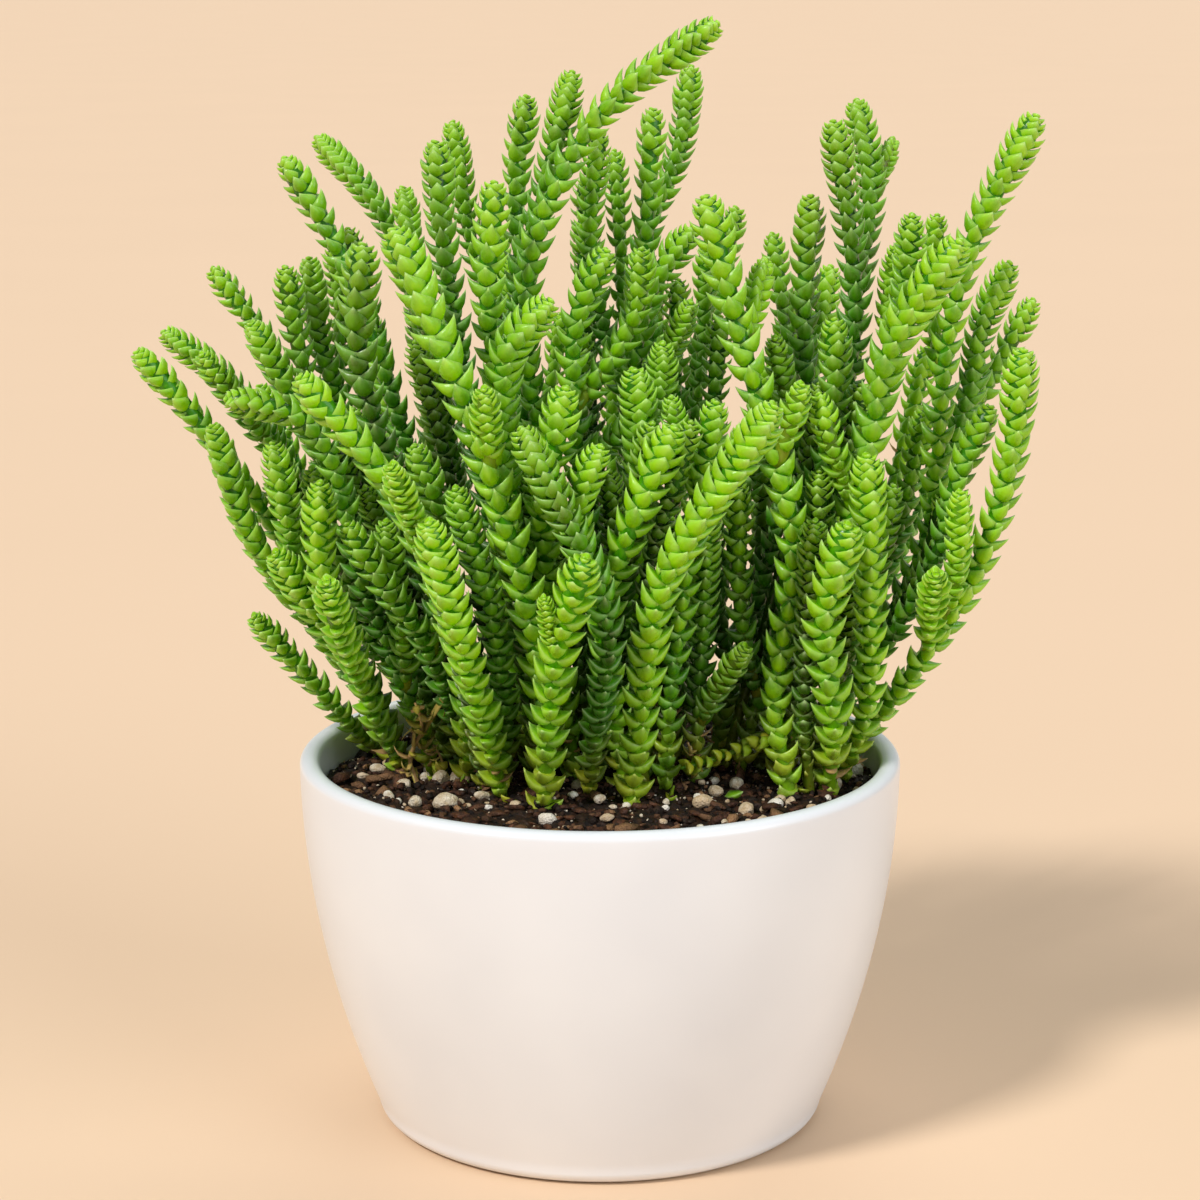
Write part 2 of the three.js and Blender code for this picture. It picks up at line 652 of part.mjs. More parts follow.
const twists = drawer(5);
const twistOf = strands.map(() => (twists() - 0.5) * twistRange);
const feet = strands.filter((strand) => strand.parent === null);

let soil = makeSoilBody();
for (const grain of soilGrains(feet.map((strand) => strand.at[2]))) {
  soil = soil.add(grain);
}
strands.forEach((strand, s) => {
  if (strand.parent === null) {
    soil = soil.subtract(toSolid(makeHole(strand, twistOf[s])));
  }
});

group.add(finish('pot', makePot(), potColour, roughOf.pot));
group.add(finish('soil', toGeometry(soil), soilColour, roughOf.soil));
stems.forEach((entry, node) => {
  let body = null;
  strands.forEach((strand, s) => {
    if (strand.node === node) {
      const piece = toSolid(makeLeafyStem(strand, twistOf[s]));
      body = body === null ? piece : body.add(piece);
    }
  });
  const colour = darkLeaf.clone().lerp(brightLeaf, entry.tone);
  group.add(finish(entry.name, toGeometry(body), colour, roughOf.stem));
});

export default group;
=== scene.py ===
# Potted watch chain: a crowded clump of scaly green stems in a white bowl of soil.
# Lengths are in millimetres until a mesh is made, and the origin is the middle of the pot's foot.

import json
import math
import bmesh
import bpy
import numpy as np
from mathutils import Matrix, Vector, noise

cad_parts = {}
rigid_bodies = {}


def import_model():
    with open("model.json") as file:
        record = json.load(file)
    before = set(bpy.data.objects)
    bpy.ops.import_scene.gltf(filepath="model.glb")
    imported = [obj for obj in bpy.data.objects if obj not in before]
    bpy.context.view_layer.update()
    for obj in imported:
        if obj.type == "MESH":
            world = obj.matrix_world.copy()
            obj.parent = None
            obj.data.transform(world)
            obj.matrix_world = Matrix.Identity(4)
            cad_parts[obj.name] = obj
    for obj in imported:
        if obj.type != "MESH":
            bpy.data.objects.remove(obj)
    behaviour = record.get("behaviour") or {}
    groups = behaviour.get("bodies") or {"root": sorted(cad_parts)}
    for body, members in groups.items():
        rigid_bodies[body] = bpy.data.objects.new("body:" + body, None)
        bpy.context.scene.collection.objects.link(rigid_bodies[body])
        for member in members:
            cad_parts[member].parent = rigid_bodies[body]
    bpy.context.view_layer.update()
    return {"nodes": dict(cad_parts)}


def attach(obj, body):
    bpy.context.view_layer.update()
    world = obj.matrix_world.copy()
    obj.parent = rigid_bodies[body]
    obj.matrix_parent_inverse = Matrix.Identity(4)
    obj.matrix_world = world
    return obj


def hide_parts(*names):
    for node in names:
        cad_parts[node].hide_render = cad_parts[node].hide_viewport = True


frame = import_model()
print("Frame loaded:", len(frame["nodes"]), "solids")

mm = 0.001

view = {
    "place": (0, -426, 171.3),
    "pitchDown": 12.25,
    "lens": 87.84,
    "sensor": 36,
    "clip": (0.01, 60),  # in metres
}


def addCamera():
    data = bpy.data.cameras.new("camera")
    data.lens = view["lens"]
    data.sensor_width = view["sensor"]
    data.clip_start, data.clip_end = view["clip"]
    camera = bpy.data.objects.new("camera", data)
    camera.location = Vector(view["place"]) * mm
    camera.rotation_euler = (math.radians(90 - view["pitchDown"]), 0, 0)
    bpy.context.collection.objects.link(camera)
    bpy.context.scene.camera = camera


addCamera()


# Small helpers

def drawer(seed):
    # a repeatable draw between 0 and 1
    state = seed
    span = 2 ** 32

    def draw():
        nonlocal state
        state = (state * 1664525 + 1013904223) % span
        return state / span

    return draw


def paint(code):
    # an sRGB colour such as "8cc63a", as the linear colour that a shader takes
    parts = [int(code[i:i + 2], 16) / 255 for i in (0, 2, 4)]
    linear = [c / 12.92 if c <= 0.04045 else ((c + 0.055) / 1.055) ** 2.4 for c in parts]
    return (*linear, 1)


def unit(vectors):
    return vectors / np.linalg.norm(vectors, axis=-1, keepdims=True)


def mix(a, b, share):
    return a + (b - a) * share


def smoothStep(value):
    value = np.clip(value, 0, 1)
    return value * value * (3 - 2 * value)


def roundHead(fromTip, length):
    # the share of the full width near a tip that is rounded off over the length
    along = np.clip(np.asarray(fromTip, float) / length, 0, 1)
    return np.sqrt(1 - (1 - along) ** 2)


def spread(rng, count, span):
    # random values about 0
    return (rng.random(count) - 0.5) * span


def circle(sides):
    turns = np.arange(sides) * 2 * math.pi / sides
    return np.stack([np.cos(turns), np.sin(turns)], 1)


def ringFaces(rings, sides, first=0):
    # four-sided faces between rings of points that follow one another
    here = np.arange(sides)
    after = (here + 1) % sides
    ladder = np.stack([here, after, sides + after, sides + here], 1)
    return np.vstack([ladder + first + k * sides for k in range(rings - 1)])


def fanFaces(sides, first, end):
    # faces between a ring of points and its end point
    here = np.arange(sides)
    return np.stack([first + here, first + (here + 1) % sides, np.full(sides, end)], 1)


def revolve(outline, sides):
    # a closed body from an outline of (radius, height) that starts and ends on the axis
    around = circle(sides)
    rings = [np.column_stack([around * r, np.full(sides, z)]) for r, z in outline[1:-1]]
    points = np.vstack([[0, 0, outline[0][1]], *rings, [0, 0, outline[-1][1]]])
    firstFan = fanFaces(sides, 1, 0)[:, [1, 0, 2]]
    lastFan = fanFaces(sides, 1 + (len(rings) - 1) * sides, len(points) - 1)
    return {"points": points, "faces": [ringFaces(len(rings), sides, 1), firstFan, lastFan]}


def merge(parts):
    # joins parts, each with points, arrays of faces and marks, which are values at the points
    faces = []
    marks = {}
    count = 0
    for part in parts:
        faces += [group + count for group in part["faces"]]
        for name, values in part["marks"].items():
            marks.setdefault(name, []).append(values)
        count += len(part["points"])
    marks = {name: np.vstack(values) for name, values in marks.items()}
    return {"points": np.vstack([part["points"] for part in parts]), "faces": faces, "marks": marks}


def addPiece(name, part, material, replaced=()):
    mesh = bpy.data.meshes.new(name)
    faces = [face for group in part["faces"] for face in group.tolist()]
    mesh.from_pydata((part["points"] * mm).tolist(), [], faces)
    mesh.polygons.foreach_set("use_smooth", [True] * len(mesh.polygons))
    for mark, values in part.get("marks", {}).items():
        layer = mesh.attributes.new(mark, "FLOAT_VECTOR", "POINT")
        layer.data.foreach_set("vector", np.asarray(values, np.float32).ravel())
    mesh.materials.append(material)
    mesh.update()
    piece = bpy.data.objects.new(name, mesh)
    bpy.context.collection.objects.link(piece)
    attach(piece, "root")
    if replaced:
        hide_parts(*replaced)
    return piece


# Shader helpers

def feed(tree, socket, value):
    # sets a socket to a value, or links another node's output to it
    if isinstance(value, bpy.types.NodeSocket):
        tree.links.new(value, socket)
    else:
        socket.default_value = value


def place(tree, kind, inputs=None, **options):
    # adds a node; an input is a value or another node's output
    node = tree.nodes.new("ShaderNode" + kind)
    for name, value in options.items():
        setattr(node, name, value)
    for name, value in (inputs or {}).items():
        feed(tree, node.inputs[name], value)
    return node


def blend(tree, share, first, second):
    # a Mix node's inputs 6 and 7 and its output 2 are its colours
    return place(tree, "Mix", {0: share, 6: first, 7: second}, data_type="RGBA").outputs[2]


def maths(tree, operation, first, second=0.0, third=0.0):
    return place(tree, "Math", {0: first, 1: second, 2: third}, operation=operation).outputs[0]


def rescale(tree, value, low, high, toLow=0.0, toHigh=1.0):
    inputs = {"Value": value, "From Min": low, "From Max": high, "To Min": toLow, "To Max": toHigh}
    return place(tree, "MapRange", inputs).outputs["Result"]


def readMark(tree, name):
    # the three values of a mark at the mesh's points
    mark = place(tree, "Attribute", attribute_name=name).outputs["Vector"]
    return place(tree, "SeparateXYZ", {"Vector": mark}).outputs


def newGroup(name, values, result):
    # a shader group with its inputs' usual values and one output
    group = bpy.data.node_groups.new(name, "ShaderNodeTree")
    for label, value in values.items():
        socket = group.interface.new_socket(label, in_out="INPUT", socket_type="NodeSocketFloat")
        socket.default_value = value
    group.interface.new_socket(result, in_out="OUTPUT", socket_type="NodeSocketFloat")
    entry = group.nodes.new("NodeGroupInput")
    leave = group.nodes.new("NodeGroupOutput")
    return group, entry.outputs, leave.inputs[result]


def grain(group, size):
    # where a point lies, and the scale of a texture whose features have this size in millimetres
    spot = place(group, "TexCoord").outputs["Object"]
    return {"Vector": spot, "Scale": maths(group, "DIVIDE", 1000.0, size)}


def makeMottle():
    # cloudy change over the surface, as a mask; Size is in millimetres
    values = {"Size": 4.0, "Detail": 3.0, "Low": 0.4, "High": 0.6}
    group, given, result = newGroup("mottle", values, "Mask")
    cloud = place(group, "TexNoise", {**grain(group, given["Size"]), "Detail": given["Detail"]})
    feed(group, result, rescale(group, cloud.outputs["Fac"], given["Low"], given["High"]))
    return group


def makeGrit():
    # broken, grainy relief; Size is that of the coarser grains in millimetres
    group, given, result = newGroup("grit", {"Size": 0.6, "Cells": 0.5}, "Height")
    inputs = grain(group, given["Size"])
    cloud = place(group, "TexNoise", {**inputs, "Detail": 5.0})
    cells = place(group, "TexVoronoi", inputs)
    feed(group, result, blend(group, given["Cells"], cloud.outputs["Fac"], cells.outputs["Distance"]))
    return group


mottle = makeMottle()
grit = makeGrit()


def useMottle(tree, values):
    return place(tree, "Group", values, node_tree=mottle).outputs["Mask"]


def newMaterial(name, settings):
    # a material with its Principled shader, whose plain sockets are set from the settings
    material = bpy.data.materials.new(name)
    material.use_nodes = True
    tree = material.node_tree
    shader = tree.nodes["Principled BSDF"]
    for socket, value in settings.items():
        shader.inputs[socket].default_value = value
    return material, tree, shader


def finishShader(tree, shader, colour, roughness, relief, bump):
    # bump is the strength of the grit's relief and its depth in metres
    height = place(tree, "Group", relief, node_tree=grit).outputs["Height"]
    rough = place(tree, "Bump", {"Height": height, "Strength": bump[0], "Distance": bump[1]})
    feed(tree, shader.inputs["Base Color"], colour)
    feed(tree, shader.inputs["Roughness"], roughness)
    feed(tree, shader.inputs["Normal"], rough.outputs["Normal"])


print("Shader groups made")


# Stems: the planting is that of the solids. A stem has its foot [x, y] in the soil, the points
# [x, y, z] that it passes up to its tip, the width over its leaves and its tone, from 0, dark, to
# 1, yellow-green. The tone is partly the stem's own colour and partly painted shade: stems at the
# back and deep in the clump get darker tones for the shade they stand in. A side shoot leaves its
# stem at the height that comes first.

def stem(foot, path, width, tone, *shoots):
    return {"foot": foot, "path": path, "width": width, "tone": tone, "shoots": shoots}


def shoot(start, path, width):
    return {"start": start, "path": path, "width": width}


clump = {
    "front": [
        stem([-8, -15], [[-6, -24, 74], [-1, -28, 92]], 6.2, 0.9, shoot(74, [[-7, -29, 86]], 3.2)),
        stem([-14, -8], [[-19, -23, 76], [-24, -27, 96]], 5.8, 0.95),
        stem([3, -11], [[6, -20, 76], [9, -23, 87], [24, -26, 112]], 6.2, 0.9),
        stem([-14, -4], [[-15, -15, 79], [-20, -18, 99]], 4.8, 0.5),
        stem([-6, -10], [[-10, -16, 82], [-17, -19, 106], [-29, -14, 135]], 6.4, 0.8,
            shoot(100, [[-16, -23, 114]], 4.6)),
        stem([-18, 2], [[-23, -17, 84], [-29, -21, 99], [-42, -20, 115]], 5.6, 0.85,
            shoot(88, [[-29, -27, 104]], 4.6)),
        stem([-2, -9], [[1, -24, 79], [-6, -25, 98], [-11, -22, 108]], 5.2, 0.3),
        stem([-4, -3], [[-9, -15, 94], [-7, -17, 104], [-5, -17, 113]], 5.8, 0.8),
        stem([4, -6], [[0, -16, 82], [3, -20, 93], [10, -20, 108]], 6, 0.8,
            shoot(78, [[-3, -21, 96], [0, -21, 105]], 5.2)),
        stem([10, -7], [[13, -12, 93], [14, -14, 101], [15, -14, 111]], 5.2, 0.6,
            shoot(96, [[11, -13, 111]], 4)),
        stem([3, 0], [[6, -11, 104], [5, -12, 115]], 5.6, 0.6),
        stem([-9, 0], [[-14, -10, 111], [-13, -12, 118], [-7, -12, 125]], 5.8, 0.7),
        stem([14, -5], [[15, -6, 80], [15, -9, 95]], 4.8, 0.3,
            shoot(60, [[17, -8, 67], [21, -11, 74]], 4.6)),
    ],
    "right": [
        stem([29, -9], [[26, -10, 65], [28, -10, 89], [23, -9, 109], [19, -7, 123], [15, -6, 139]], 6, 0.85,
            shoot(99, [[29, -12, 113]], 4.6), shoot(116, [[24, 2, 129]], 4.2),
            shoot(60, [[20, -6, 57.5], [11, -9, 56]], 4)),
        stem([34, -5], [[34, -13, 66], [32, -17, 79], [35, -20, 94]], 6.4, 0.85),
        stem([36, -1], [[39, -8, 65], [39, -13, 83], [38, -14, 103]], 5.4, 0.85),
        stem([36, 4], [[45, -2, 66], [53, -5, 80], [59, -6, 98], [61, -6, 117]], 5.6, 0.9,
            shoot(74, [[52, -9, 87], [52, -10, 97]], 4.4), shoot(70, [[48, -15, 86]], 4.8)),
        stem([33, 10], [[48, 3, 89], [51, 2, 117], [54, 2, 131], [63, 2, 150]], 5.4, 0.75,
            shoot(110, [[49, 9, 123], [50, 10, 135]], 4.4)),
        stem([27, 0], [[39, -7, 104], [42, -8, 118], [51, -10, 133]], 6.2, 0.8,
            shoot(92, [[33, -10, 104], [31, -9, 111]], 4.4)),
        stem([22, 8], [[38, 4, 117], [37, 5, 132], [34, 6, 149]], 5, 0.3,
            shoot(62, [[25, 10, 84], [25, 11, 103]], 4.8)),
        stem([17, 5], [[30, 4, 105], [30, 6, 120], [31, 8, 138]], 5, 0.3,
            shoot(100, [[26, 0, 118]], 4.4), shoot(64, [[17, 8, 86], [17, 9, 106]], 4.8)),
        stem([32, 16], [[55, 10, 107], [57, 10, 118], [61, 10, 128]], 5, 0.5,
            shoot(92, [[60, 20, 110], [66, 22, 121]], 4.6), shoot(72, [[46, 9, 90], [49, 9, 106]], 4.6)),
        stem([32, 4], [[49, -1, 86], [52, -1, 97], [57, 0, 108]], 4.8, 0.5,
            shoot(66, [[43, 3, 80], [46, 4, 95]], 4.6)),
        stem([21, 1], [[34, -3, 108], [34, -2, 121]], 5, 0.4,
            shoot(62, [[21, -3, 80], [20, -4, 97]], 4.8)),
        stem([23, 20], [[41, 22, 136], [39, 26, 151]], 5, 0.4,
            shoot(136, [[45, 28, 145]], 3.6), shoot(96, [[29, 28, 116], [27, 34, 130]], 4.2)),
        stem([27, 7], [[44, 0, 121], [45, -2, 136]], 4.8, 0.6,
            shoot(112, [[42, 6, 122], [43, 5, 131]], 4)),
    ],
    "crown": [
        stem([-5, 4], [[-14, -6, 108], [-16, -8, 124], [-15, -6, 141]], 5.4, 0.75),
        stem([-1, 5], [[-11, 1, 118], [-8, 2, 136], [1, 3, 151], [17, 4, 163]], 5.2, 0.7),
        stem([-5, 10], [[-12, 6, 123], [-8, 7, 139], [-4, 8, 156]], 4.8, 0.5),
        stem([-10, 6], [[-21, 4, 117], [-23, 4, 132], [-24, 6, 146]], 5.2, 0.35),
        stem([-17, 3], [[-31, -5, 99], [-35, -6, 118], [-34, -4, 132]], 6, 0.25),
        stem([5, 15], [[7, 18, 133], [8, 20, 150]], 4.8, 0.5,
            shoot(100, [[-2, 15, 130], [-1, 16, 147]], 4.4)),
        stem([5, 22], [[6, 25, 127], [12, 28, 143], [14, 30, 156]], 4.6, 0.5,
            shoot(104, [[3, 31, 131], [2, 34, 143]], 4.2)),
        stem([8, 6], [[6, 6, 115], [8, 8, 124], [14, 10, 133]], 5.2, 0.5,
            shoot(104, [[13, 3, 123]], 4.2), shoot(62, [[13, 3, 80], [17, 1, 98]], 4.8)),
        stem([1, 2], [[-4, -2, 115], [-3, -2, 122], [1, -2, 131]], 5.2, 0.55,
            shoot(106, [[5, 0, 121], [6, 0, 131]], 4.6), shoot(98, [[8, -5, 109], [9, -6, 118]], 4.6)),
        stem([-6, 16], [[-13, 16, 135], [-11, 18, 152]], 4.8, 0.55,
            shoot(108, [[-20, 19, 132], [-23, 22, 148]], 4.4)),
    ],
    "left": [
        stem([-31, 13], [[-35, 3, 66], [-40, -5, 76], [-47, -9, 88]], 5.6, 0.8),
        stem([-34, 17], [[-38, 10, 60], [-43, 7, 67], [-51, 4, 76]], 4.6, 0.6),
        stem([-31, 21], [[-40, 6, 68], [-52, 0, 89], [-57, 1, 105]], 5, 0.6,
            shoot(74, [[-46, -5, 91], [-48, -5, 103]], 4.8)),
        stem([-27, 13], [[-49, 8, 88], [-59, 8, 103], [-69, 8, 115]], 5, 0.7),
        stem([-24, 3], [[-35, -4, 84], [-40, -6, 103], [-45, -7, 108], [-54, -7, 110]], 4.8, 0.5,
            shoot(64, [[-30, -6, 78], [-31, -10, 92]], 4.8)),
        stem([-26, 7], [[-36, -9, 75], [-40, -13, 86], [-40, -14, 99]], 5.2, 0.8,
            shoot(66, [[-35, -18, 80], [-36, -24, 88]], 5)),
        stem([-21, 6], [[-26, -7, 75], [-31, -10, 84], [-36, -10, 93]], 4.8, 0.35,
            shoot(72, [[-23, -9, 92], [-27, -9, 104]], 5)),
        stem([-28, 21], [[-54, 12, 107], [-66, 14, 117]], 4.6, 0.6, shoot(96, [[-59, 6, 115]], 4.4)),
        stem([-24, 8], [[-44, 3, 105], [-51, 2, 120]], 5, 0.5,
            shoot(94, [[-45, 8, 113], [-47, 8, 127]], 4.8), shoot(66, [[-37, 3, 84], [-42, 2, 99]], 4.8)),
        stem([-21, 15], [[-42, 14, 114], [-44, 16, 128]], 4.8, 0.35,
            shoot(104, [[-40, 23, 120], [-41, 24, 129]], 4), shoot(66, [[-33, 12, 88], [-38, 10, 106]], 4.8)),
        stem([-15, 11], [[-34, 8, 117], [-39, 10, 130], [-47, 14, 143]], 5, 0.55),
        stem([-24, 25], [[-50, 17, 114], [-59, 20, 126]], 4.4, 0.6),
        stem([-14, 23], [[-33, 29, 132], [-44, 34, 145]], 4.4, 0.6,
            shoot(106, [[-28, 21, 124], [-30, 24, 138]], 4.4)),
    ],
    "back": [
        stem([-21, 29], [[-33, 41, 96], [-38, 46, 117]], 4.8, 0.5,
            shoot(74, [[-27, 34, 100], [-29, 36, 122]], 4.6)),
        stem([-9, 30], [[-15, 43, 104], [-17, 49, 130]], 5, 0.6,
            shoot(90, [[-8, 47, 104], [-6, 48, 116]], 4.4), shoot(82, [[-14, 37, 108], [-14, 38, 126]], 4.4)),
        stem([0, 34], [[3, 48, 92], [6, 55, 112]], 5.2, 0.7, shoot(70, [[2, 41, 94], [2, 43, 112]], 4.6)),
        stem([9, 30], [[15, 42, 106], [22, 48, 133]], 5, 0.5,
            shoot(96, [[10, 48, 110], [9, 50, 122]], 4.4), shoot(84, [[16, 36, 108], [17, 37, 128]], 4.4)),
        stem([19, 28], [[32, 38, 98], [37, 44, 124]], 5, 0.6,
            shoot(76, [[27, 33, 100], [30, 34, 121]], 4.6)),
        stem([27, 23], [[45, 30, 88], [52, 36, 112]], 4.8, 0.7,
            shoot(68, [[38, 33, 88], [42, 37, 106]], 4.6)),
        stem([-29, 26], [[-45, 31, 86], [-54, 35, 106]], 4.8, 0.6),
        stem([-15, 35], [[-22, 48, 80], [-27, 55, 97]], 5, 0.8),
        stem([14, 35], [[19, 49, 80], [24, 57, 96]], 5, 0.8),
    ],
}

pot = {
    "height": 56,
    "rimRadius": 45,
    "wallFlare": 12,  # how much narrower the bowl's curve is at the foot
    "footRadius": 31.3,
    "footRound": 2.4,
    "recess": 0.5,  # height of the recess under the foot
    "recessSlope": (3.2, 2.6),  # its slope, measured in from the foot's edge
    "wall": 3,
    "floor": 5,
    "corner": 1.5,  # between the floor and the wall inside
    "lip": 1.3,
    "sides": 128,
    "steps": {"foot": 9, "wall": 40, "lip": 17, "inside": 30},
}

soil = {
    "level": 51,
    "mound": 0.8,
    "rough": 0.5,
    "gap": 0.2,  # between the soil and the pot's wall
    "rings": 84,
    "sides": 250,
    "crumble": 0.8,  # height of the loose crumbs in the surface
    "wallHeights": (12, 47, 8),  # from, to and number of the rings along the pot's wall
    "corner": 2.5,
}

growth = {
    "footDepth": 5,  # how far a stem stands in its hole
    "footBare": 0.5,  # and how far it is bare above that
    "shootBare": 0.4,  # bare start of a side shoot, as a share of its stem's width
    "leastReach": 0.25,  # of the half width, at the very tip
    "headLength": 4.6,  # the tip is rounded off over this length
    "baseThinning": 0.14,
    "thinningLength": 80,
    "twist": 0.6,  # how far the leaf rows of two stems may be turned, in radians
    "curveSteps": 200,
}

crowd = {
    "step": 2.5,
    "leastSteps": 3,
    "gap": 0.55,  # between the leaf points of neighbouring stems
    "rounds": 160,
    "searchRounds": 8,  # rounds between two searches for neighbours
    "margin": 3,
    "bendLength": 11,  # a push is shared along the stem over about this length
    "ease": (0.55, 1, 0.35),  # how easily stems give way along x, y and z
    "rootStiffness": 12,
    "firstAnchor": 3,  # a side shoot leaves its stem at this sample or above it
    "rooted": (5, 1),  # samples of a stem and of a side shoot that the soil doesn't lift
}


# Strands and how they crowd

def curveAt(points, t):
    # centripetal Catmull-Rom curve through the points: places and slopes at t from 0 to 1
    last = len(points) - 1
    ends = np.vstack([2 * points[0] - points[1], points, 2 * points[-1] - points[-2]])
    where = np.asarray(t) * last
    part = np.minimum(np.floor(where).astype(int), last - 1)
    w = (where - part)[:, None]
    p0, p1, p2, p3 = (ends[part + k] for k in range(4))
    d0, d1, d2 = (np.linalg.norm(b - a, axis=1)[:, None] ** 0.5 for a, b in ((p0, p1), (p1, p2), (p2, p3)))
    slope1 = ((p1 - p0) / d0 - (p2 - p0) / (d0 + d1) + (p2 - p1) / d1) * d1
    slope2 = ((p2 - p1) / d1 - (p3 - p1) / (d1 + d2) + (p3 - p2) / d2) * d1
    square = -3 * p1 + 3 * p2 - 2 * slope1 - slope2
    cube = 2 * p1 - 2 * p2 + slope1 + slope2
    places = p1 + slope1 * w + square * w ** 2 + cube * w ** 3
    return places, unit(slope1 + 2 * square * w + 3 * cube * w ** 2)


def evenPlaces(points, count):
    # count + 1 values of t that lie evenly along the curve, and its length
    fine = np.linspace(0, 1, growth["curveSteps"] + 1)
    dense = curveAt(points, fine)[0]
    run = np.concatenate([[0], np.cumsum(np.linalg.norm(np.diff(dense, axis=0), axis=1))])
    return np.interp(np.linspace(0, run[-1], count + 1), run, fine), run[-1]


def makeStrand(node, points, width, tone, parent=None, anchor=0):
    # a strand is a stem or a side shoot
    points = np.array(points, float)
    length = evenPlaces(points, 1)[1]
    steps = max(crowd["leastSteps"], round(length / crowd["step"]))
    at = curveAt(points, evenPlaces(points, steps)[0])[0]
    step = np.linalg.norm(at[1] - at[0])
    fromTip = (len(at) - 1 - np.arange(len(at))) * step
    reach = width / 2 * np.maximum(growth["leastReach"], roundHead(fromTip, growth["headLength"]))
    return {"node": node, "at": at, "step": step, "reach": reach, "room": reach, "width": width,
            "tone": tone, "parent": parent, "anchor": anchor}


def rootRoute(x, y, path):
    # from the foot of its hole straight up to the soil's level, and on along the path
    return [[x, y, soil["level"] - growth["footDepth"]], [x, y, soil["level"]], *path]


def plantClump():
    strands = []
    for group, entries in clump.items():
        for number, entry in enumerate(entries):
            node = f"stem_{group}_{number + 1}"
            main = makeStrand(node, rootRoute(*entry["foot"], entry["path"]), entry["width"], entry["tone"])
            parent = len(strands)
            strands.append(main)
            for branch in entry["shoots"]:
                anchor = crowd["firstAnchor"]
                while main["at"][anchor][2] < branch["start"]:
                    anchor += 1
                route = [main["at"][anchor], *branch["path"]]
                strands.append(makeStrand(node, route, branch["width"], entry["tone"], parent, anchor))
    return strands


class Crowd:
    # all the samples of all the strands in one list, for pushing them apart
    def __init__(self, strands):
        counts = [len(strand["at"]) for strand in strands]
        self.first = np.concatenate([[0], np.cumsum(counts)])
        owner = np.repeat(np.arange(len(strands)), counts)
        self.number = np.concatenate([np.arange(count) for count in counts])
        self.at = np.vstack([strand["at"] for strand in strands])
        self.reach = np.concatenate([strand["reach"] for strand in strands])
        nodes = {name: i for i, name in enumerate(dict.fromkeys(s["node"] for s in strands))}
        self.node = np.array([nodes[strand["node"]] for strand in strands])[owner]
        self.isShoot = np.array([strand["parent"] is not None for strand in strands])[owner]
        bareSpan = [0 if s["parent"] is None else s["width"] + strands[s["parent"]]["width"] for s in strands]
        run = self.number * np.array([strand["step"] for strand in strands])[owner]
        self.rooted = self.isShoot & (run < np.array(bareSpan)[owner])

    def rows(self, s):
        return slice(self.first[s], self.first[s + 1])

    def neighbours(self, margin):
        # pairs of samples of different strands that are near; a shoot may touch its stem at its root
        firsts = []
        seconds = []
        for s in range(len(self.first) - 2):
            here = np.arange(self.first[s], self.first[s + 1])
            later = np.arange(self.first[s + 1], len(self.at))
            between = self.at[here][:, None] - self.at[later][None]
            near = self.reach[here][:, None] + self.reach[later][None] + margin
            close = (between ** 2).sum(2) < near ** 2
            same = self.node[here][:, None] == self.node[later][None]
            close &= ~(same & (self.rooted[here][:, None] | self.rooted[later][None]))
            a, b = np.nonzero(close)
            firsts.append(here[a])
            seconds.append(later[b])
        return np.concatenate(firsts), np.concatenate(seconds)

    def pushes(self, a, b):
        push = np.zeros_like(self.at)
        between = self.at[b] - self.at[a]
        distance = np.linalg.norm(between, axis=1)
        need = self.reach[a] + self.reach[b] + crowd["gap"]
        tight = distance < need
        a, b, between, distance, need = (values[tight] for values in (a, b, between, distance, need))
        way = between * crowd["ease"] / distance[:, None]
        effect = (way * between).sum(1) / distance
        way *= ((need - distance) / 2 / effect)[:, None]
        np.add.at(push, a, -way)
        np.add.at(push, b, way)
        return push + self.potPushes()

    def potPushes(self):
        # the pot's lip is a ring that stems bend round, and a leaning stem stays above the soil
        push = np.zeros_like(self.at)
        half = pot["wall"] / 2
        r = np.hypot(self.at[:, 0], self.at[:, 1])
        outward = r - (pot["rimRadius"] - half)
        upward = self.at[:, 2] - (pot["height"] - half)
        distance = np.hypot(outward, upward)
        amount = np.maximum(0, self.reach + half + crowd["gap"] - distance) / distance
        push[:, 0] += self.at[:, 0] / r * outward * amount
        push[:, 1] += self.at[:, 1] / r * outward * amount
        push[:, 2] += upward * amount
        lowest = soil["level"] + soil["mound"] + soil["rough"] + crowd["gap"] + self.reach
        free = self.number > np.array(crowd["rooted"])[self.isShoot.astype(int)]
        low = free & (self.at[:, 2] < lowest) & (r < pot["rimRadius"])
        push[:, 2] += np.where(low, lowest - self.at[:, 2], 0)
        return push


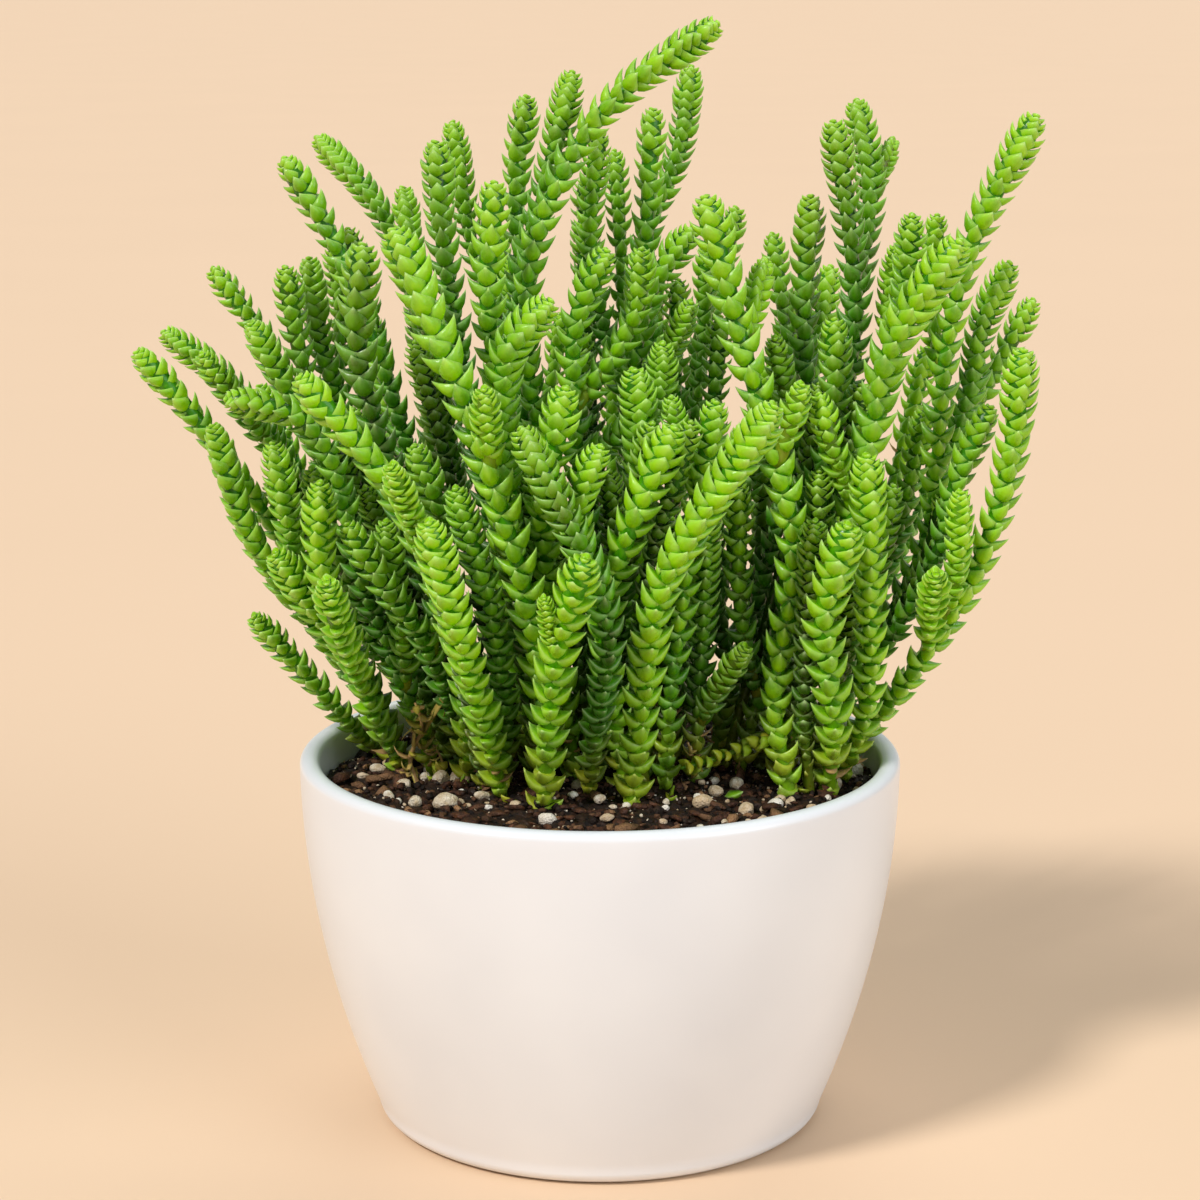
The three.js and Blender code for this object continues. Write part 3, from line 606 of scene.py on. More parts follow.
def settle(strands):
    # the crowded strands bend one another aside until their leaves are clear
    samples = Crowd(strands)
    shares = []
    for strand in strands:
        run = np.arange(len(strand["at"])) * strand["step"]
        share = np.exp(-0.5 * ((run[:, None] - run[None]) / crowd["bendLength"]) ** 2)
        share /= share.sum(1, keepdims=True)
        if strand["parent"] is not None:
            share *= np.minimum(1, run / crowd["rootStiffness"])[:, None]
        shares.append(share)
    for turn in range(crowd["rounds"]):
        if turn % crowd["searchRounds"] == 0:
            a, b = samples.neighbours(crowd["gap"] + crowd["margin"])
        push = samples.pushes(a, b)
        for s, strand in enumerate(strands):
            rows = samples.rows(s)
            samples.at[rows] += shares[s] @ push[rows]
            if strand["parent"] is not None:
                root = samples.at[samples.first[strand["parent"]] + strand["anchor"]]
                samples.at[rows] += root - samples.at[rows.start]
    # where two stems still stand too close, their leaves are pressed shorter
    room = samples.reach.copy()
    a, b = samples.neighbours(crowd["gap"])
    distance = np.linalg.norm(samples.at[b] - samples.at[a], axis=1)
    share = (distance - crowd["gap"]) / (samples.reach[a] + samples.reach[b])
    np.minimum.at(room, a, share * samples.reach[a])
    np.minimum.at(room, b, share * samples.reach[b])
    for s, strand in enumerate(strands):
        strand["at"] = samples.at[samples.rows(s)]
        strand["room"] = room[samples.rows(s)]


def measure(strand):
    # marks along a strand with their direction and side, which later places are read from
    steps = 2 * len(strand["at"])
    places, length = evenPlaces(strand["at"], steps)
    points, along = curveAt(strand["at"], places)
    sides = []
    side = np.array([1.0, 0, 0])
    for direction in along:
        side = unit(side - direction * side.dot(direction))
        sides.append(side)
    return {"length": length, "steps": steps, "points": points, "along": along, "sides": np.array(sides),
            "room": strand["room"]}


def locate(line, distance):
    # point, direction, side and the side across it at distances along a strand
    where = np.clip(np.asarray(distance, float) / line["length"], 0, 1) * line["steps"]
    i = np.minimum(np.floor(where).astype(int), line["steps"] - 1)
    share = (where - i)[..., None]
    marks = (line[name] for name in ("points", "along", "sides"))
    point, along, side = (mix(values[i], values[i + 1], share) for values in marks)
    along = unit(along)
    side = unit(side - along * (side * along).sum(-1, keepdims=True))
    return point, along, side, np.cross(along, side)


def roomAt(line, distance):
    return np.interp(distance / line["length"], np.linspace(0, 1, len(line["room"])), line["room"])


thicket = {
    # thin old stems that fill the shade between the grown ones; their dark tone is painted shade
    "count": 26,
    "spacing": (4, 14),  # least mean and greatest distance between the two stems that one stands between
    "top": (80, 118),
    "leastSamples": 12,
    "width": 4.6,
    # a near-black tone: painted shade of the clump's inside
    "tone": 0.04,
    "leastRoom": 0.9,
    "footSamples": 3,  # its lowest samples, in the soil, and their room
    "footRoom": 1.2,
    "pressed": 0.8,  # share of their reach that its neighbours' leaves keep
    "apart": 0.8,  # further room between two of them
    "front": -9,  # none stands nearer to the front
    "edge": 33,  # or further out
    # taller ones at the back: where their tips are
    "tips": [(1.5, 14, 117), (18, 17, 119), (22, 9, 113), (-27, 18, 124), (-36, 19, 132), (-6, 20, 134),
             (-2, 27, 139), (42, 14, 115), (-30, 10, 112), (10, 22, 124)],
    # their tips are a little lighter, but still painted shade
    "tipShadeTone": 0.3,
    "rootShare": 0.45,  # how far out their feet stand, as a share of their tips
    "bendShare": 0.55,  # how far out their middles are, between foot and tip
    "trials": 24,
    "nudge": 2.2,
}


def freeRoom(at, places, reach):
    # how much room leaves have along a line between the stems, in all and at each sample
    gaps = np.linalg.norm(at[thicket["footSamples"]:, None] - places[None], axis=2)
    room = np.minimum((gaps - thicket["pressed"] * reach[None]).min(1), thicket["width"] / 2)
    foot = [thicket["footRoom"]] * thicket["footSamples"]
    return np.clip(room, 0, None).sum(), np.append(foot, np.maximum(room, thicket["leastRoom"]))


def linesBetween(mains):
    # lines halfway between two stems, up to where these draw too far apart
    offers = []
    tops = drawer(3)
    for i, first in enumerate(mains):
        for second in mains[:i]:
            count = min(len(first["at"]), len(second["at"]))
            apart = np.linalg.norm(first["at"][:count] - second["at"][:count], axis=1)
            middle = (first["at"][:count] + second["at"][:count]) / 2
            ends = (apart > thicket["spacing"][1]) | (middle[:, 2] > mix(*thicket["top"], tops()))
            count = np.argmax(np.append(ends, True))
            x, y, _ = middle[2]
            inside = y >= thicket["front"] and np.hypot(x, y) <= thicket["edge"]
            if count >= thicket["leastSamples"] and inside and apart[:count].mean() > thicket["spacing"][0]:
                strand = {"node": "thicket", "at": middle[:count], "parent": None}
                offers.append({**strand, "width": thicket["width"], "tone": thicket["tone"]})
    return offers


def tallOffer(tip, rng):
    # a stem up to near the tip, from a foot nearer to the middle
    nudge = thicket["nudge"]
    x, y, z = tip + np.append(rng.normal(size=2) * nudge, 0)
    foot = np.array([x, y]) * thicket["rootShare"] + rng.normal(size=2) * nudge
    middle = mix(foot, np.array([x, y]), thicket["bendShare"]) + rng.normal(size=2) * nudge / 2
    route = rootRoute(*foot, [[*middle, mix(soil["level"], z, 0.5)], [x, y, z]])
    return makeStrand("thicket", route, thicket["width"], thicket["tipShadeTone"])


def fillThicket(strands):
    # the widest gaps between two stems each get a thin stem, and so does each of the tips
    reach = np.concatenate([strand["room"] for strand in strands])
    places = np.vstack([strand["at"] for strand in strands])
    chosen = []

    def takeRoomiest(offers):
        nonlocal reach, places
        rooms = [freeRoom(offer["at"], places, reach) for offer in offers]
        best = max(range(len(offers)), key=lambda k: rooms[k][0])
        strand = offers.pop(best)
        strand["room"] = rooms[best][1]
        chosen.append(strand)
        places = np.vstack([places, strand["at"]])
        reach = np.concatenate([reach, strand["room"] + thicket["apart"]])

    offers = linesBetween([strand for strand in strands if strand["parent"] is None])
    for _ in range(min(thicket["count"], len(offers))):
        takeRoomiest(offers)
    rng = np.random.default_rng(3)
    for tip in thicket["tips"]:
        takeRoomiest([tallOffer(tip, rng) for _ in range(thicket["trials"])])
    return chosen


strands = plantClump()
settle(strands)
shade = fillThicket(strands)
twists = drawer(5)
for strand in strands + shade:
    strand["twist"] = (twists() - 0.5) * growth["twist"]
    strand["line"] = measure(strand)
print("Stems planted:", len(clump), "groups,", len(strands), "strands and", len(shade), "in the shade")


# Leaves

leafForm = {
    "tipRise": 0.5,  # how far the topmost leaves stand above the solid
    "headLength": 3.4,
    "overreach": (1.07, 1.06),  # how far points stand out of the solid, at the tip and on a grown stem
    "firstPair": 0.1,  # distance of the uppermost pair of leaves from the tip
    "headPitch": 0.46,  # between pairs at the tip
    "oldPitch": 1.95,  # and on a grown stem
    # a loose stem's leaves draw apart over the first length, a dense one's over the second
    "pitchGrowth": (9, 32),
    "openLength": 10,  # they open over a length between that one and this, nearer to it by the share
    "openShare": 0.6,
    "grownFrom": 0.5,  # leaves that are more open than this have the grown shape
    "lift": 2.1,  # height of a leaf's point above its root
    "liftWidth": 6,  # on a stem of this width
    "headLift": (0.35, 0.5), # near the tip the lift is at most this, and this much for each mm below it
    "oldLift": 0.75,  # share of it at a stem's foot
    "start": 0.12,  # the leaf's middle line starts at this share of its reach
    "halfWidth": (0.27, 0.228),  # at the tip and on a grown stem, as a share of the stem's width
    "thickness": (0.12, 0.31),
    "slimmest": (0.62, 0.56),  # the half width and thickness are at most these shares of the reach
    "shrunk": (0.6, 0.25),  # share of both that a dry leaf keeps
    "headTilt": (15, 89),  # slope of the leaf's middle line at its root and point, in degrees
    "grownTilt": (12, 42),
    "oldTilt": (0, 40),
    "oldSpan": 16,  # the lowest leaves spread wide over this length of stem
    "curl": 0.04,  # how far the edges bend up, as a share of the half width
    "clasp": 0.5,  # how far the edges reach back round the stem at the root
    "dish": -0.12,  # how far the upper face is sunk
    "pointMark": (1.0, 1.0, 0.5),  # the leafPlace of a leaf's point
    "turnRange": 0.5,  # random turn about the stem, in radians
    "sizeRange": 0.38,
    "reachRange": 0.24,
    "liftRange": 0.4,
    "tiltRange": 24,
    "toneRange": 0.25,
    "youthLength": 12,  # from the tip down
    "dryShare": 0.004,
    "dryFrom": 15,  # below the tip
    "dryOldShare": 0.14,
    "oldFading": (0.45, 0.1),  # random and steady part of the fading at a stem's foot
}
core = {
    "sides": 8,
    "start": 3,  # above the stem's foot
    "step": 2.0,
    "head": (3.2, 2.3, 1.5, 0.9, 0.4, 0.1),  # distances of its last rings from the tip
    "headStart": 3.5,
    "radius": (0.17, 0.34),  # on a grown stem and at the tip, as a share of the width
    "fading": 0.3,  # at the foot, and the length over which it goes
    "fadingLength": 12,
    "tone": 0.5,  # share of the leaves' tone
    "mark": (0.1, 0.0, 0.0),  # its leafPlace, as near a leaf's root
}
creeping = {
    # a side shoot that ends below this height creeps on the soil with small round leaves
    "top": 60,
    "pitch": 1.7,
    "end": 0.6,
    "opened": 0.8,
    "old": (0.4, 1),
    "reach": (0.7, 1),
    "size": 1.3,
    "lift": 0.6,
    "fading": (0.2, 0.6),
    "core": 0.4,
}
# leaf shapes. Along the leaf: share of its length, half width and thickness; across it: share of the
# half width and of the thickness, round from one edge to the other and back on the inner side
grownLeaf = {
    "rings": [(0, 0.85, 0.9), (0.2, 1, 1), (0.42, 0.88, 0.76), (0.65, 0.54, 0.42), (0.85, 0.22, 0.18)],
    "section": [(-1, 0), (-0.78, 0.6), (-0.4, 0.92), (0, 1.04), (0.4, 0.92), (0.78, 0.6), (1, 0), (0, 0)],
}
shadeLeaf = {
    "rings": [(0, 0.85, 0.95), (0.35, 1, 0.85), (0.75, 0.5, 0.4)],
    "section": [(-1, 0), (-0.5, 0.85), (0.5, 0.85), (1, 0), (0, 0)],
}
youngLeaf = {
    "rings": [(0, 0.85, 0.8), (0.28, 1, 1), (0.55, 0.86, 0.7), (0.8, 0.42, 0.3)],
    "section": [(-1, 0), (-0.6, 0.75), (0, 1.06), (0.6, 0.75), (1, 0), (0, 0)],
}


def leafFaces(count, rings, sides):
    # faces of leaves: rings of quads, a fan at the point and one face over the root
    size = rings * sides + 1
    offsets = np.arange(count)[:, None, None] * size
    fan = fanFaces(sides, (rings - 1) * sides, rings * sides)
    groups = [ringFaces(rings, sides), fan, np.arange(sides)[None, ::-1]]
    return [(group[None] + offsets).reshape(-1, group.shape[1]) for group in groups]


def makeLeaves(template, root, out, along, form, kind):
    # leaves with their roots, outward and upward directions; form and kind hold a value for each
    rings = np.array(template["rings"])
    section = np.array(template["section"])
    across = np.cross(along, out)
    t = rings[None, :, 0]
    low = np.radians(form["tilt"][:, :1])
    high = np.radians(form["tilt"][:, 1:])
    # the middle line is an arc from the lower to the higher slope
    angle = mix(low, high, np.append(t, [[1.0]], 1))
    runSpan = (form["reach"] - form["start"])[:, None]
    riseSpan = form["lift"][:, None]
    run = form["start"][:, None] + runSpan * (np.sin(angle) - np.sin(low)) / (np.sin(high) - np.sin(low))
    rise = riseSpan * (np.cos(low) - np.cos(angle)) / (np.cos(low) - np.cos(high))
    runSlope = runSpan * np.cos(angle) / (np.sin(high) - np.sin(low))
    riseSlope = riseSpan * np.sin(angle) / (np.cos(low) - np.cos(high))
    norm = np.hypot(runSlope, riseSlope)
    backRun = (riseSlope / norm)[:, :-1, None]
    backRise = (-runSlope / norm)[:, :-1, None]
    half = form["half"][:, None, None] * rings[None, :, 1, None]
    thick = form["thick"][:, None, None] * rings[None, :, 2, None]
    side = section[None, None, :, 0]
    isInner = (np.arange(len(section)) == len(section) - 1)[None, None]
    depth = thick * section[None, None, :, 1] - leafForm["curl"] * half * side ** 2
    depth = depth + leafForm["dish"] * half * isInner
    back = leafForm["clasp"] * half * side ** 2 * (1 - t[..., None]) ** 2
    outward = run[:, :-1, None] + backRun * depth - back
    upward = rise[:, :-1, None] + backRise * depth
    body = (out[:, None, None] * outward[..., None] + along[:, None, None] * upward[..., None]
            + across[:, None, None] * (half * side)[..., None])
    tip = out * run[:, -1:] + along * rise[:, -1:]
    count = len(root)
    points = np.concatenate([body.reshape(count, -1, 3), tip[:, None]], 1) + root[:, None]
    # marks: share of the leaf's length, nearness to its edge, and whether it is the inner side
    shape = (count, len(rings), len(section))
    spots = [np.broadcast_to(values, shape) for values in (t[..., None], np.abs(side), isInner * 1.0)]
    spots = np.stack(spots, -1).reshape(count, -1, 3)
    spots = np.concatenate([spots, np.tile(leafForm["pointMark"], (count, 1, 1))], 1)
    kinds = np.repeat(kind[:, None], points.shape[1], 1)
    return {
        "points": points.reshape(-1, 3),
        "faces": leafFaces(count, len(rings), len(section)),
        "marks": {"leafPlace": spots.reshape(-1, 3), "leafKind": kinds.reshape(-1, 3)},
    }


def makeCore(line, radii, distances, kind):
    # the stem itself, a round rod inside its leaves
    sides = core["sides"]
    point, _, side, across = locate(line, distances)
    around = circle(sides)
    ring = side[:, None] * around[:, :1] + across[:, None] * around[:, 1:]
    points = (point[:, None] + ring * radii[:, None, None]).reshape(-1, 3)
    here = np.arange(sides)
    caps = np.array([here[::-1], (len(distances) - 1) * sides + here])
    spots = np.tile(core["mark"], (len(points), 1))
    return {
        "points": points,
        "faces": [ringFaces(len(distances), sides), caps],
        "marks": {"leafPlace": spots, "leafKind": np.repeat(kind, sides, 0)},
    }


def pairPlaces(length, bare, scale, growthLength):
    places = []
    fromTip = leafForm["firstPair"]
    while length - fromTip > bare:
        places.append(length - fromTip)
        grown = 1 - math.exp(-fromTip / growthLength)
        fromTip += mix(leafForm["headPitch"], leafForm["oldPitch"], grown) * scale
    return np.array(places[::-1])


def bluntHead(fromTip):
    # the leaves' tips stand a little outside the solid's rounded tip
    return roundHead(fromTip + leafForm["tipRise"], leafForm["headLength"])


def dressCore(strand, creeps):
    line = strand["line"]
    start = growth["footDepth"] - core["start"] if strand["parent"] is None else 0
    reaches = np.arange(start, line["length"] - core["headStart"], core["step"])
    reaches = np.append(reaches, line["length"] - np.array(core["head"]))
    budSize = np.exp(-(line["length"] - reaches) / leafForm["youthLength"])
    head = bluntHead(line["length"] - reaches - leafForm["tipRise"])
    radii = strand["width"] * mix(*core["radius"], budSize) * head
    if creeps:
        radii *= creeping["core"]
    fading = core["fading"] * np.exp(-reaches / core["fadingLength"])
    kind = np.stack([np.full(len(reaches), strand["tone"] * core["tone"]), np.zeros(len(reaches)), fading], 1)
    return makeCore(line, radii, reaches, kind)


def dressStrand(strand, stemWidth, rng):
    # the leaves of one strand, in crossed pairs, and its core
    line = strand["line"]
    length = line["length"]
    width = strand["width"]
    isShoot = strand["parent"] is not None
    bare = stemWidth * growth["shootBare"] if isShoot else growth["footDepth"] + growth["footBare"]
    growthLength = mix(*leafForm["pitchGrowth"], rng.random() ** 2)
    creeps = isShoot and line["points"][-1][2] < creeping["top"]
    if creeps:
        pairs = np.arange(bare, length - creeping["end"], creeping["pitch"])
    else:
        scale = (width / leafForm["liftWidth"]) ** 0.5
        pairs = pairPlaces(length, bare + leafForm["headPitch"], scale, growthLength)
    distance = np.repeat(pairs, 2)
    count = len(distance)
    turn = np.arange(count) * math.pi + (np.arange(count) // 2 + len(pairs)) * math.pi / 2
    turn += strand["twist"] + spread(rng, count, leafForm["turnRange"])
    fromTip = length - distance
    opened = 1 - np.exp(-fromTip / mix(growthLength, leafForm["openLength"], leafForm["openShare"]))
    old = np.zeros(count) if isShoot else smoothStep(1 - (distance - bare) / leafForm["oldSpan"])
    if creeps:
        opened = np.full(count, creeping["opened"])
        old = rng.uniform(*creeping["old"], count)
    dryShare = leafForm["dryShare"] * (fromTip > leafForm["dryFrom"]) + leafForm["dryOldShare"] * old
    dry = rng.random(count) < dryShare

    lift = leafForm["lift"] * width / leafForm["liftWidth"] * (1 + spread(rng, count, leafForm["liftRange"]))
    lift = np.minimum(lift, leafForm["headLift"][0] + leafForm["headLift"][1] * fromTip)
    age = 1 - growth["baseThinning"] * np.minimum(1, fromTip / growth["thinningLength"])
    full = width / 2 * bluntHead(fromTip - lift) * age
    full *= 1 + spread(rng, count, leafForm["reachRange"]) * opened
    room = np.minimum(roomAt(line, distance + lift), roomAt(line, distance))
    room += width / 2 * (bluntHead(fromTip - lift) - roundHead(fromTip - lift, growth["headLength"]))
    reach = np.minimum(full, room) * mix(*leafForm["overreach"], opened)
    if creeps:
        reach = width / 2 * rng.uniform(*creeping["reach"], count)
    size = width * (1 + spread(rng, count, leafForm["sizeRange"])) * (creeping["size"] if creeps else 1)
    tilts = [np.array([leafForm[name]]) for name in ("headTilt", "grownTilt", "oldTilt")]
    tilt = mix(mix(tilts[0], tilts[1], opened[:, None]), tilts[2], old[:, None])
    tilt = tilt + (spread(rng, count, leafForm["tiltRange"]) * opened)[:, None]

    def slimmed(name, k):
        # the half width or the thickness
        full = size * mix(*leafForm[name], opened) * np.where(dry, leafForm["shrunk"][k], 1)
        return np.minimum(full, reach * leafForm["slimmest"][k])

    form = {
        "tilt": tilt,
        "reach": reach,
        "start": reach * leafForm["start"],
        "lift": lift * mix(1, leafForm["oldLift"], old) * (creeping["lift"] if creeps else 1),
        "half": slimmed("halfWidth", 0),
        "thick": slimmed("thickness", 1),
    }
    youth = np.exp(-fromTip / leafForm["youthLength"]) * (not creeps)
    # the strand's tone, which holds painted shade for stems deep in the clump, varied leaf by leaf
    tone = np.clip(strand["tone"] + spread(rng, count, leafForm["toneRange"]), 0, 1)
    loose, steady = leafForm["oldFading"]
    fading = np.where(dry, 1, loose * old * rng.random(count) + steady * old)
    if creeps:
        fading = rng.uniform(*creeping["fading"], count)
    kind = np.stack([tone, youth, fading], 1)

    point, along, side, across = locate(line, distance)
    out = side * np.cos(turn)[:, None] + across * np.sin(turn)[:, None]
    isShade = np.full(count, strand["node"] == "thicket")
    isGrown = opened >= leafForm["grownFrom"]
    leaves = []
    young = ~isShade & ~isGrown
    grown = ~isShade & isGrown
    for template, chosen in ((shadeLeaf, isShade), (youngLeaf, young), (grownLeaf, grown)):
        if chosen.any():
            own = {name: values[chosen] for name, values in form.items()}
            leaves.append(makeLeaves(template, point[chosen], out[chosen], along[chosen], own, kind[chosen]))
    return [*leaves, dressCore(strand, creeps)]


def makeStem(node, members, material):
    rng = np.random.default_rng(sum(ord(letter) for letter in node) * 31 + len(node))
    parts = []
    for strand in members:
        stemWidth = strands[strand["parent"]]["width"] if strand["parent"] is not None else 0
        parts += dressStrand(strand, stemWidth, rng)
    replaced = [] if node == "thicket" else [node]
    return addPiece("leafy_" + node, merge(parts), material, replaced)


leafLook = {
    # dark, the low end of the tone, is partly the leaves' own colour and partly painted shade deep in the
    # clump
    "dark": "0f3502",
    "middle": "3f9000",
    "bright": "98d200",
    "head": "a6de04",
    "edge": "d8ecac",
    "inner": "62ac1c",
    "faded": "b5b12e",
    "dry": "b8935f",
    "cloud": {"Size": 1.6, "Detail": 2.0, "Low": 0.35, "High": 0.65},
    "drift": {"Size": 14.0, "Detail": 1.0, "Low": 0.35, "High": 0.65},
    "cloudWeight": 0.22,
    "driftWeight": 0.2,
    "toneShift": 0.2,
    "darkSpan": (0.0, 0.5),  # tones over which dark turns to middle, and that to bright
    "brightSpan": (0.45, 1.0),
    "headWeight": 0.75,
    "innerWeight": 0.4,
    "rim": (6.0, 0.24),  # how narrow and how strong the pale edge and the pale point are; the edge is partly the leaves' pale margin and partly painted highlight where edges catch light
    "point": (5.0, 0.6),
    "fadedSpan": (0.0, 0.6),
    "drySpan": (0.7, 1.0),
    "roughness": (0.24, 0.38),
    "relief": {"Size": 0.45, "Cells": 0.3},
    "bump": (0.45, 0.00014),
    "shader": {
        "Subsurface Weight": 0.12,
        "Subsurface Radius": (0.5, 1.0, 0.25),
        "Subsurface Scale": 0.0015,
        "Specular IOR Level": 0.32,
    },
}


def makeLeafMaterial():
    look = leafLook
    material, tree, shader = newMaterial("leafFlesh", look["shader"])
    along, edge, inner = readMark(tree, "leafPlace")
    tone, youth, fading = readMark(tree, "leafKind")
    cloud = useMottle(tree, look["cloud"])
    # low tones give dark green: partly the leaves' own colour, partly painted shade of stems deep in the
    # clump
    varied = maths(tree, "MULTIPLY_ADD", useMottle(tree, look["drift"]), look["driftWeight"], tone)
    varied = maths(tree, "MULTIPLY_ADD", cloud, look["cloudWeight"], varied)
    varied = maths(tree, "SUBTRACT", varied, look["toneShift"])
    # pale points are the leaves' own colour; the pale edges are partly pale margin and partly painted
    # highlight
    pale = [maths(tree, "MULTIPLY", maths(tree, "POWER", mark, power), weight)
            for mark, (power, weight) in ((edge, look["rim"]), (along, look["point"]))]
    colour = paint(look["dark"])
    for name, share in (
        ("middle", rescale(tree, varied, *look["darkSpan"])),
        ("bright", rescale(tree, varied, *look["brightSpan"])),
        ("head", maths(tree, "MULTIPLY", youth, look["headWeight"])),
        ("inner", maths(tree, "MULTIPLY", inner, look["innerWeight"])),
        ("edge", maths(tree, "MAXIMUM", *pale)),
        ("faded", rescale(tree, fading, *look["fadedSpan"])),
        ("dry", rescale(tree, fading, *look["drySpan"])),
    ):
        colour = blend(tree, share, colour, paint(look[name]))
    roughness = rescale(tree, cloud, 0.0, 1.0, *look["roughness"])
    finishShader(tree, shader, colour, roughness, look["relief"], look["bump"])
    return material


leafFlesh = makeLeafMaterial()
members = {}
for strand in strands:
    members.setdefault(strand["node"], []).append(strand)
leafCount = 0
for node, own in members.items():
    piece = makeStem(node, own, leafFlesh)
    leafCount += sum(len(face.vertices) - 2 for face in piece.data.polygons)
makeStem("thicket", shade, leafFlesh)
print("Stems dressed:", len(members), "pieces,", leafCount, "triangles")


# Pot

def wallRadius(z, thickness):
    # the bowl's wall is a parabola that stands upright at the rim
    down = 1 - z / pot["height"]
    return pot["rimRadius"] - thickness - pot["wallFlare"] * down * down


def potOutline():
    steps = pot["steps"]
    foot = pot["footRadius"]
    edge = wallRadius(pot["footRound"], 0)
    slopeTop, slopeFoot = (foot - inset for inset in pot["recessSlope"])
    outline = [(0, pot["recess"]), (slopeTop, pot["recess"]), (slopeFoot, 0)]
    for a in np.linspace(0, math.pi / 2, steps["foot"]):
        outline.append((mix(foot, edge, math.sin(a)), pot["footRound"] * (1 - math.cos(a))))
    lipStart = pot["height"] - pot["lip"]
    outline += [(wallRadius(z, 0), z) for z in np.linspace(pot["footRound"], lipStart, steps["wall"])[1:]]
    half = pot["wall"] / 2
    for a in np.linspace(0, math.pi, steps["lip"])[1:-1]:
        outline.append((pot["rimRadius"] - half + half * math.cos(a), lipStart + pot["lip"] * math.sin(a)))
    inside = np.linspace(lipStart, pot["floor"] + pot["corner"], steps["inside"])
    outline += [(wallRadius(z, pot["wall"]), z) for z in inside]
    outline += [(wallRadius(pot["floor"], pot["wall"]) - pot["corner"], pot["floor"]), (0, pot["floor"])]
    return outline


potLook = {
    "glaze": "eff1f4",
    "shade": "e6e8ec",
    "clay": "cfc4b8",
    "cloud": {"Size": 30.0, "Detail": 2.0, "Low": 0.3, "High": 0.7},
    "bareTop": 0.0007,  # height in metres over which the foot's bare clay ends
    "bareRoughness": 0.5,  # which is added there
    "roughness": (0.3, 0.38),
    "relief": {"Size": 5.0, "Cells": 0.0},
    "bump": (0.12, 0.0002),
    "shader": {"Specular IOR Level": 0.5, "Coat Weight": 0.25, "Coat Roughness": 0.12},
}


def makeGlaze():
    look = potLook
    material, tree, shader = newMaterial("whiteGlaze", look["shader"])
    cloud = useMottle(tree, look["cloud"])
    spot = place(tree, "TexCoord").outputs["Object"]
    up = place(tree, "SeparateXYZ", {"Vector": spot}).outputs["Z"]
    bare = rescale(tree, up, 0.0, look["bareTop"], 1.0, 0.0)
    colour = blend(tree, cloud, paint(look["glaze"]), paint(look["shade"]))
    colour = blend(tree, bare, colour, paint(look["clay"]))
    satin = rescale(tree, cloud, 0.0, 1.0, *look["roughness"])
    roughness = maths(tree, "MULTIPLY_ADD", bare, look["bareRoughness"], satin)
    finishShader(tree, shader, colour, roughness, look["relief"], look["bump"])
    return material


addPiece("bowl", revolve(potOutline(), pot["sides"]), makeGlaze(), ["pot"])
print("Pot made")


# Soil

def soilHeight(x, y):
    # a low mound with slow swells, as on the solid
    r2 = (x * x + y * y) / pot["rimRadius"] ** 2
    swell = np.sin(x * 0.31 + 1.3) * np.cos(y * 0.27) + 0.6 * np.sin(x * 0.83 + y * 0.71)
    return soil["level"] + soil["mound"] * (1 - 2 * r2) + soil["rough"] * 0.5 * swell


def crumbled(x, y):
    # loose soil: lumps of a few sizes
    def lumps(density, layer):
        return np.array([noise.noise(Vector((a * density, b * density, layer))) for a, b in zip(x, y)])

    height = lumps(0.55, 3.1) + 0.7 * abs(lumps(1.3, 7.7)) + 0.35 * lumps(3.1, 1.7)
    return soilHeight(x, y) + soil["crumble"] * height


def soilEdge(z):
    return wallRadius(z, pot["wall"]) - soil["gap"]


def makeSoil():
    floor = pot["floor"] + soil["gap"]
    outline = [(0, floor), (wallRadius(floor, pot["wall"]) - soil["corner"], floor)]
    outline += [(soilEdge(z), z) for z in np.linspace(*soil["wallHeights"])]
    edge = soilEdge(soil["level"])
    outline += [(edge * i / soil["rings"], soil["level"]) for i in range(soil["rings"], -1, -1)]
    body = revolve(outline, soil["sides"])
    points = body["points"]
    top = points[:, 2] > soil["level"] - 0.01
    points[top, 2] = crumbled(points[top, 0], points[top, 1])
    return body


earths = {
    # the two ends of the ground colour, the colours that single bits may have, the size of the
    # clouds in millimetres and the gloss
    "peatSoil": (("0e0805", "3a2416", "1a100a", "6e4a30"), 1.2, 0.3),
    "barkChips": (("1e110a", "6e4329", "3a1f12", "b0845c"), 0.9, 0.3),
    "pumiceGrains": (("bda98a", "f6eedd", "cba87c", "fdf8ee"), 0.8, 0.4),
}
earthLook = {
    "cloud": {"Detail": 4.0, "Low": 0.35, "High": 0.68},
    "specks": {"Detail": 2.0, "Low": 0.56, "High": 0.66},
    "speckSize": 0.22,  # as a share of the clouds' size
    "reliefSize": 0.4,
    "dullWeight": 0.75,
    "brightSpan": (0.66, 1.0, 0.0, 0.85),
    "speckWeight": 0.5,
    "roughness": (0.85, 0.5),
    "cells": 0.5,
    "bump": (0.8, 0.0004),
}


def makeEarth(name):
    look = earthLook
    colours, size, gloss = earths[name]
    material, tree, shader = newMaterial(name, {"Specular IOR Level": gloss})
    dark, light, dull, bright = (paint(code) for code in colours)
    first, second, _ = readMark(tree, "bitKind")
    cloud = useMottle(tree, {"Size": size, **look["cloud"]})
    specks = useMottle(tree, {"Size": size * look["speckSize"], **look["specks"]})
    colour = blend(tree, cloud, dark, light)
    colour = blend(tree, maths(tree, "MULTIPLY", first, look["dullWeight"]), colour, dull)
    colour = blend(tree, rescale(tree, second, *look["brightSpan"]), colour, bright)
    colour = blend(tree, maths(tree, "MULTIPLY", specks, look["speckWeight"]), colour, dark)
    roughness = rescale(tree, cloud, 0.0, 1.0, *look["roughness"])
    relief = {"Size": size * look["reliefSize"], "Cells": look["cells"]}
    finishShader(tree, shader, colour, roughness, relief, look["bump"])
    return material


earthMaterials = {name: makeEarth(name) for name in earths}
addPiece("soil_top", makeSoil(), earthMaterials["peatSoil"], ["soil"])
print("Soil made")


# Loose bits on the soil

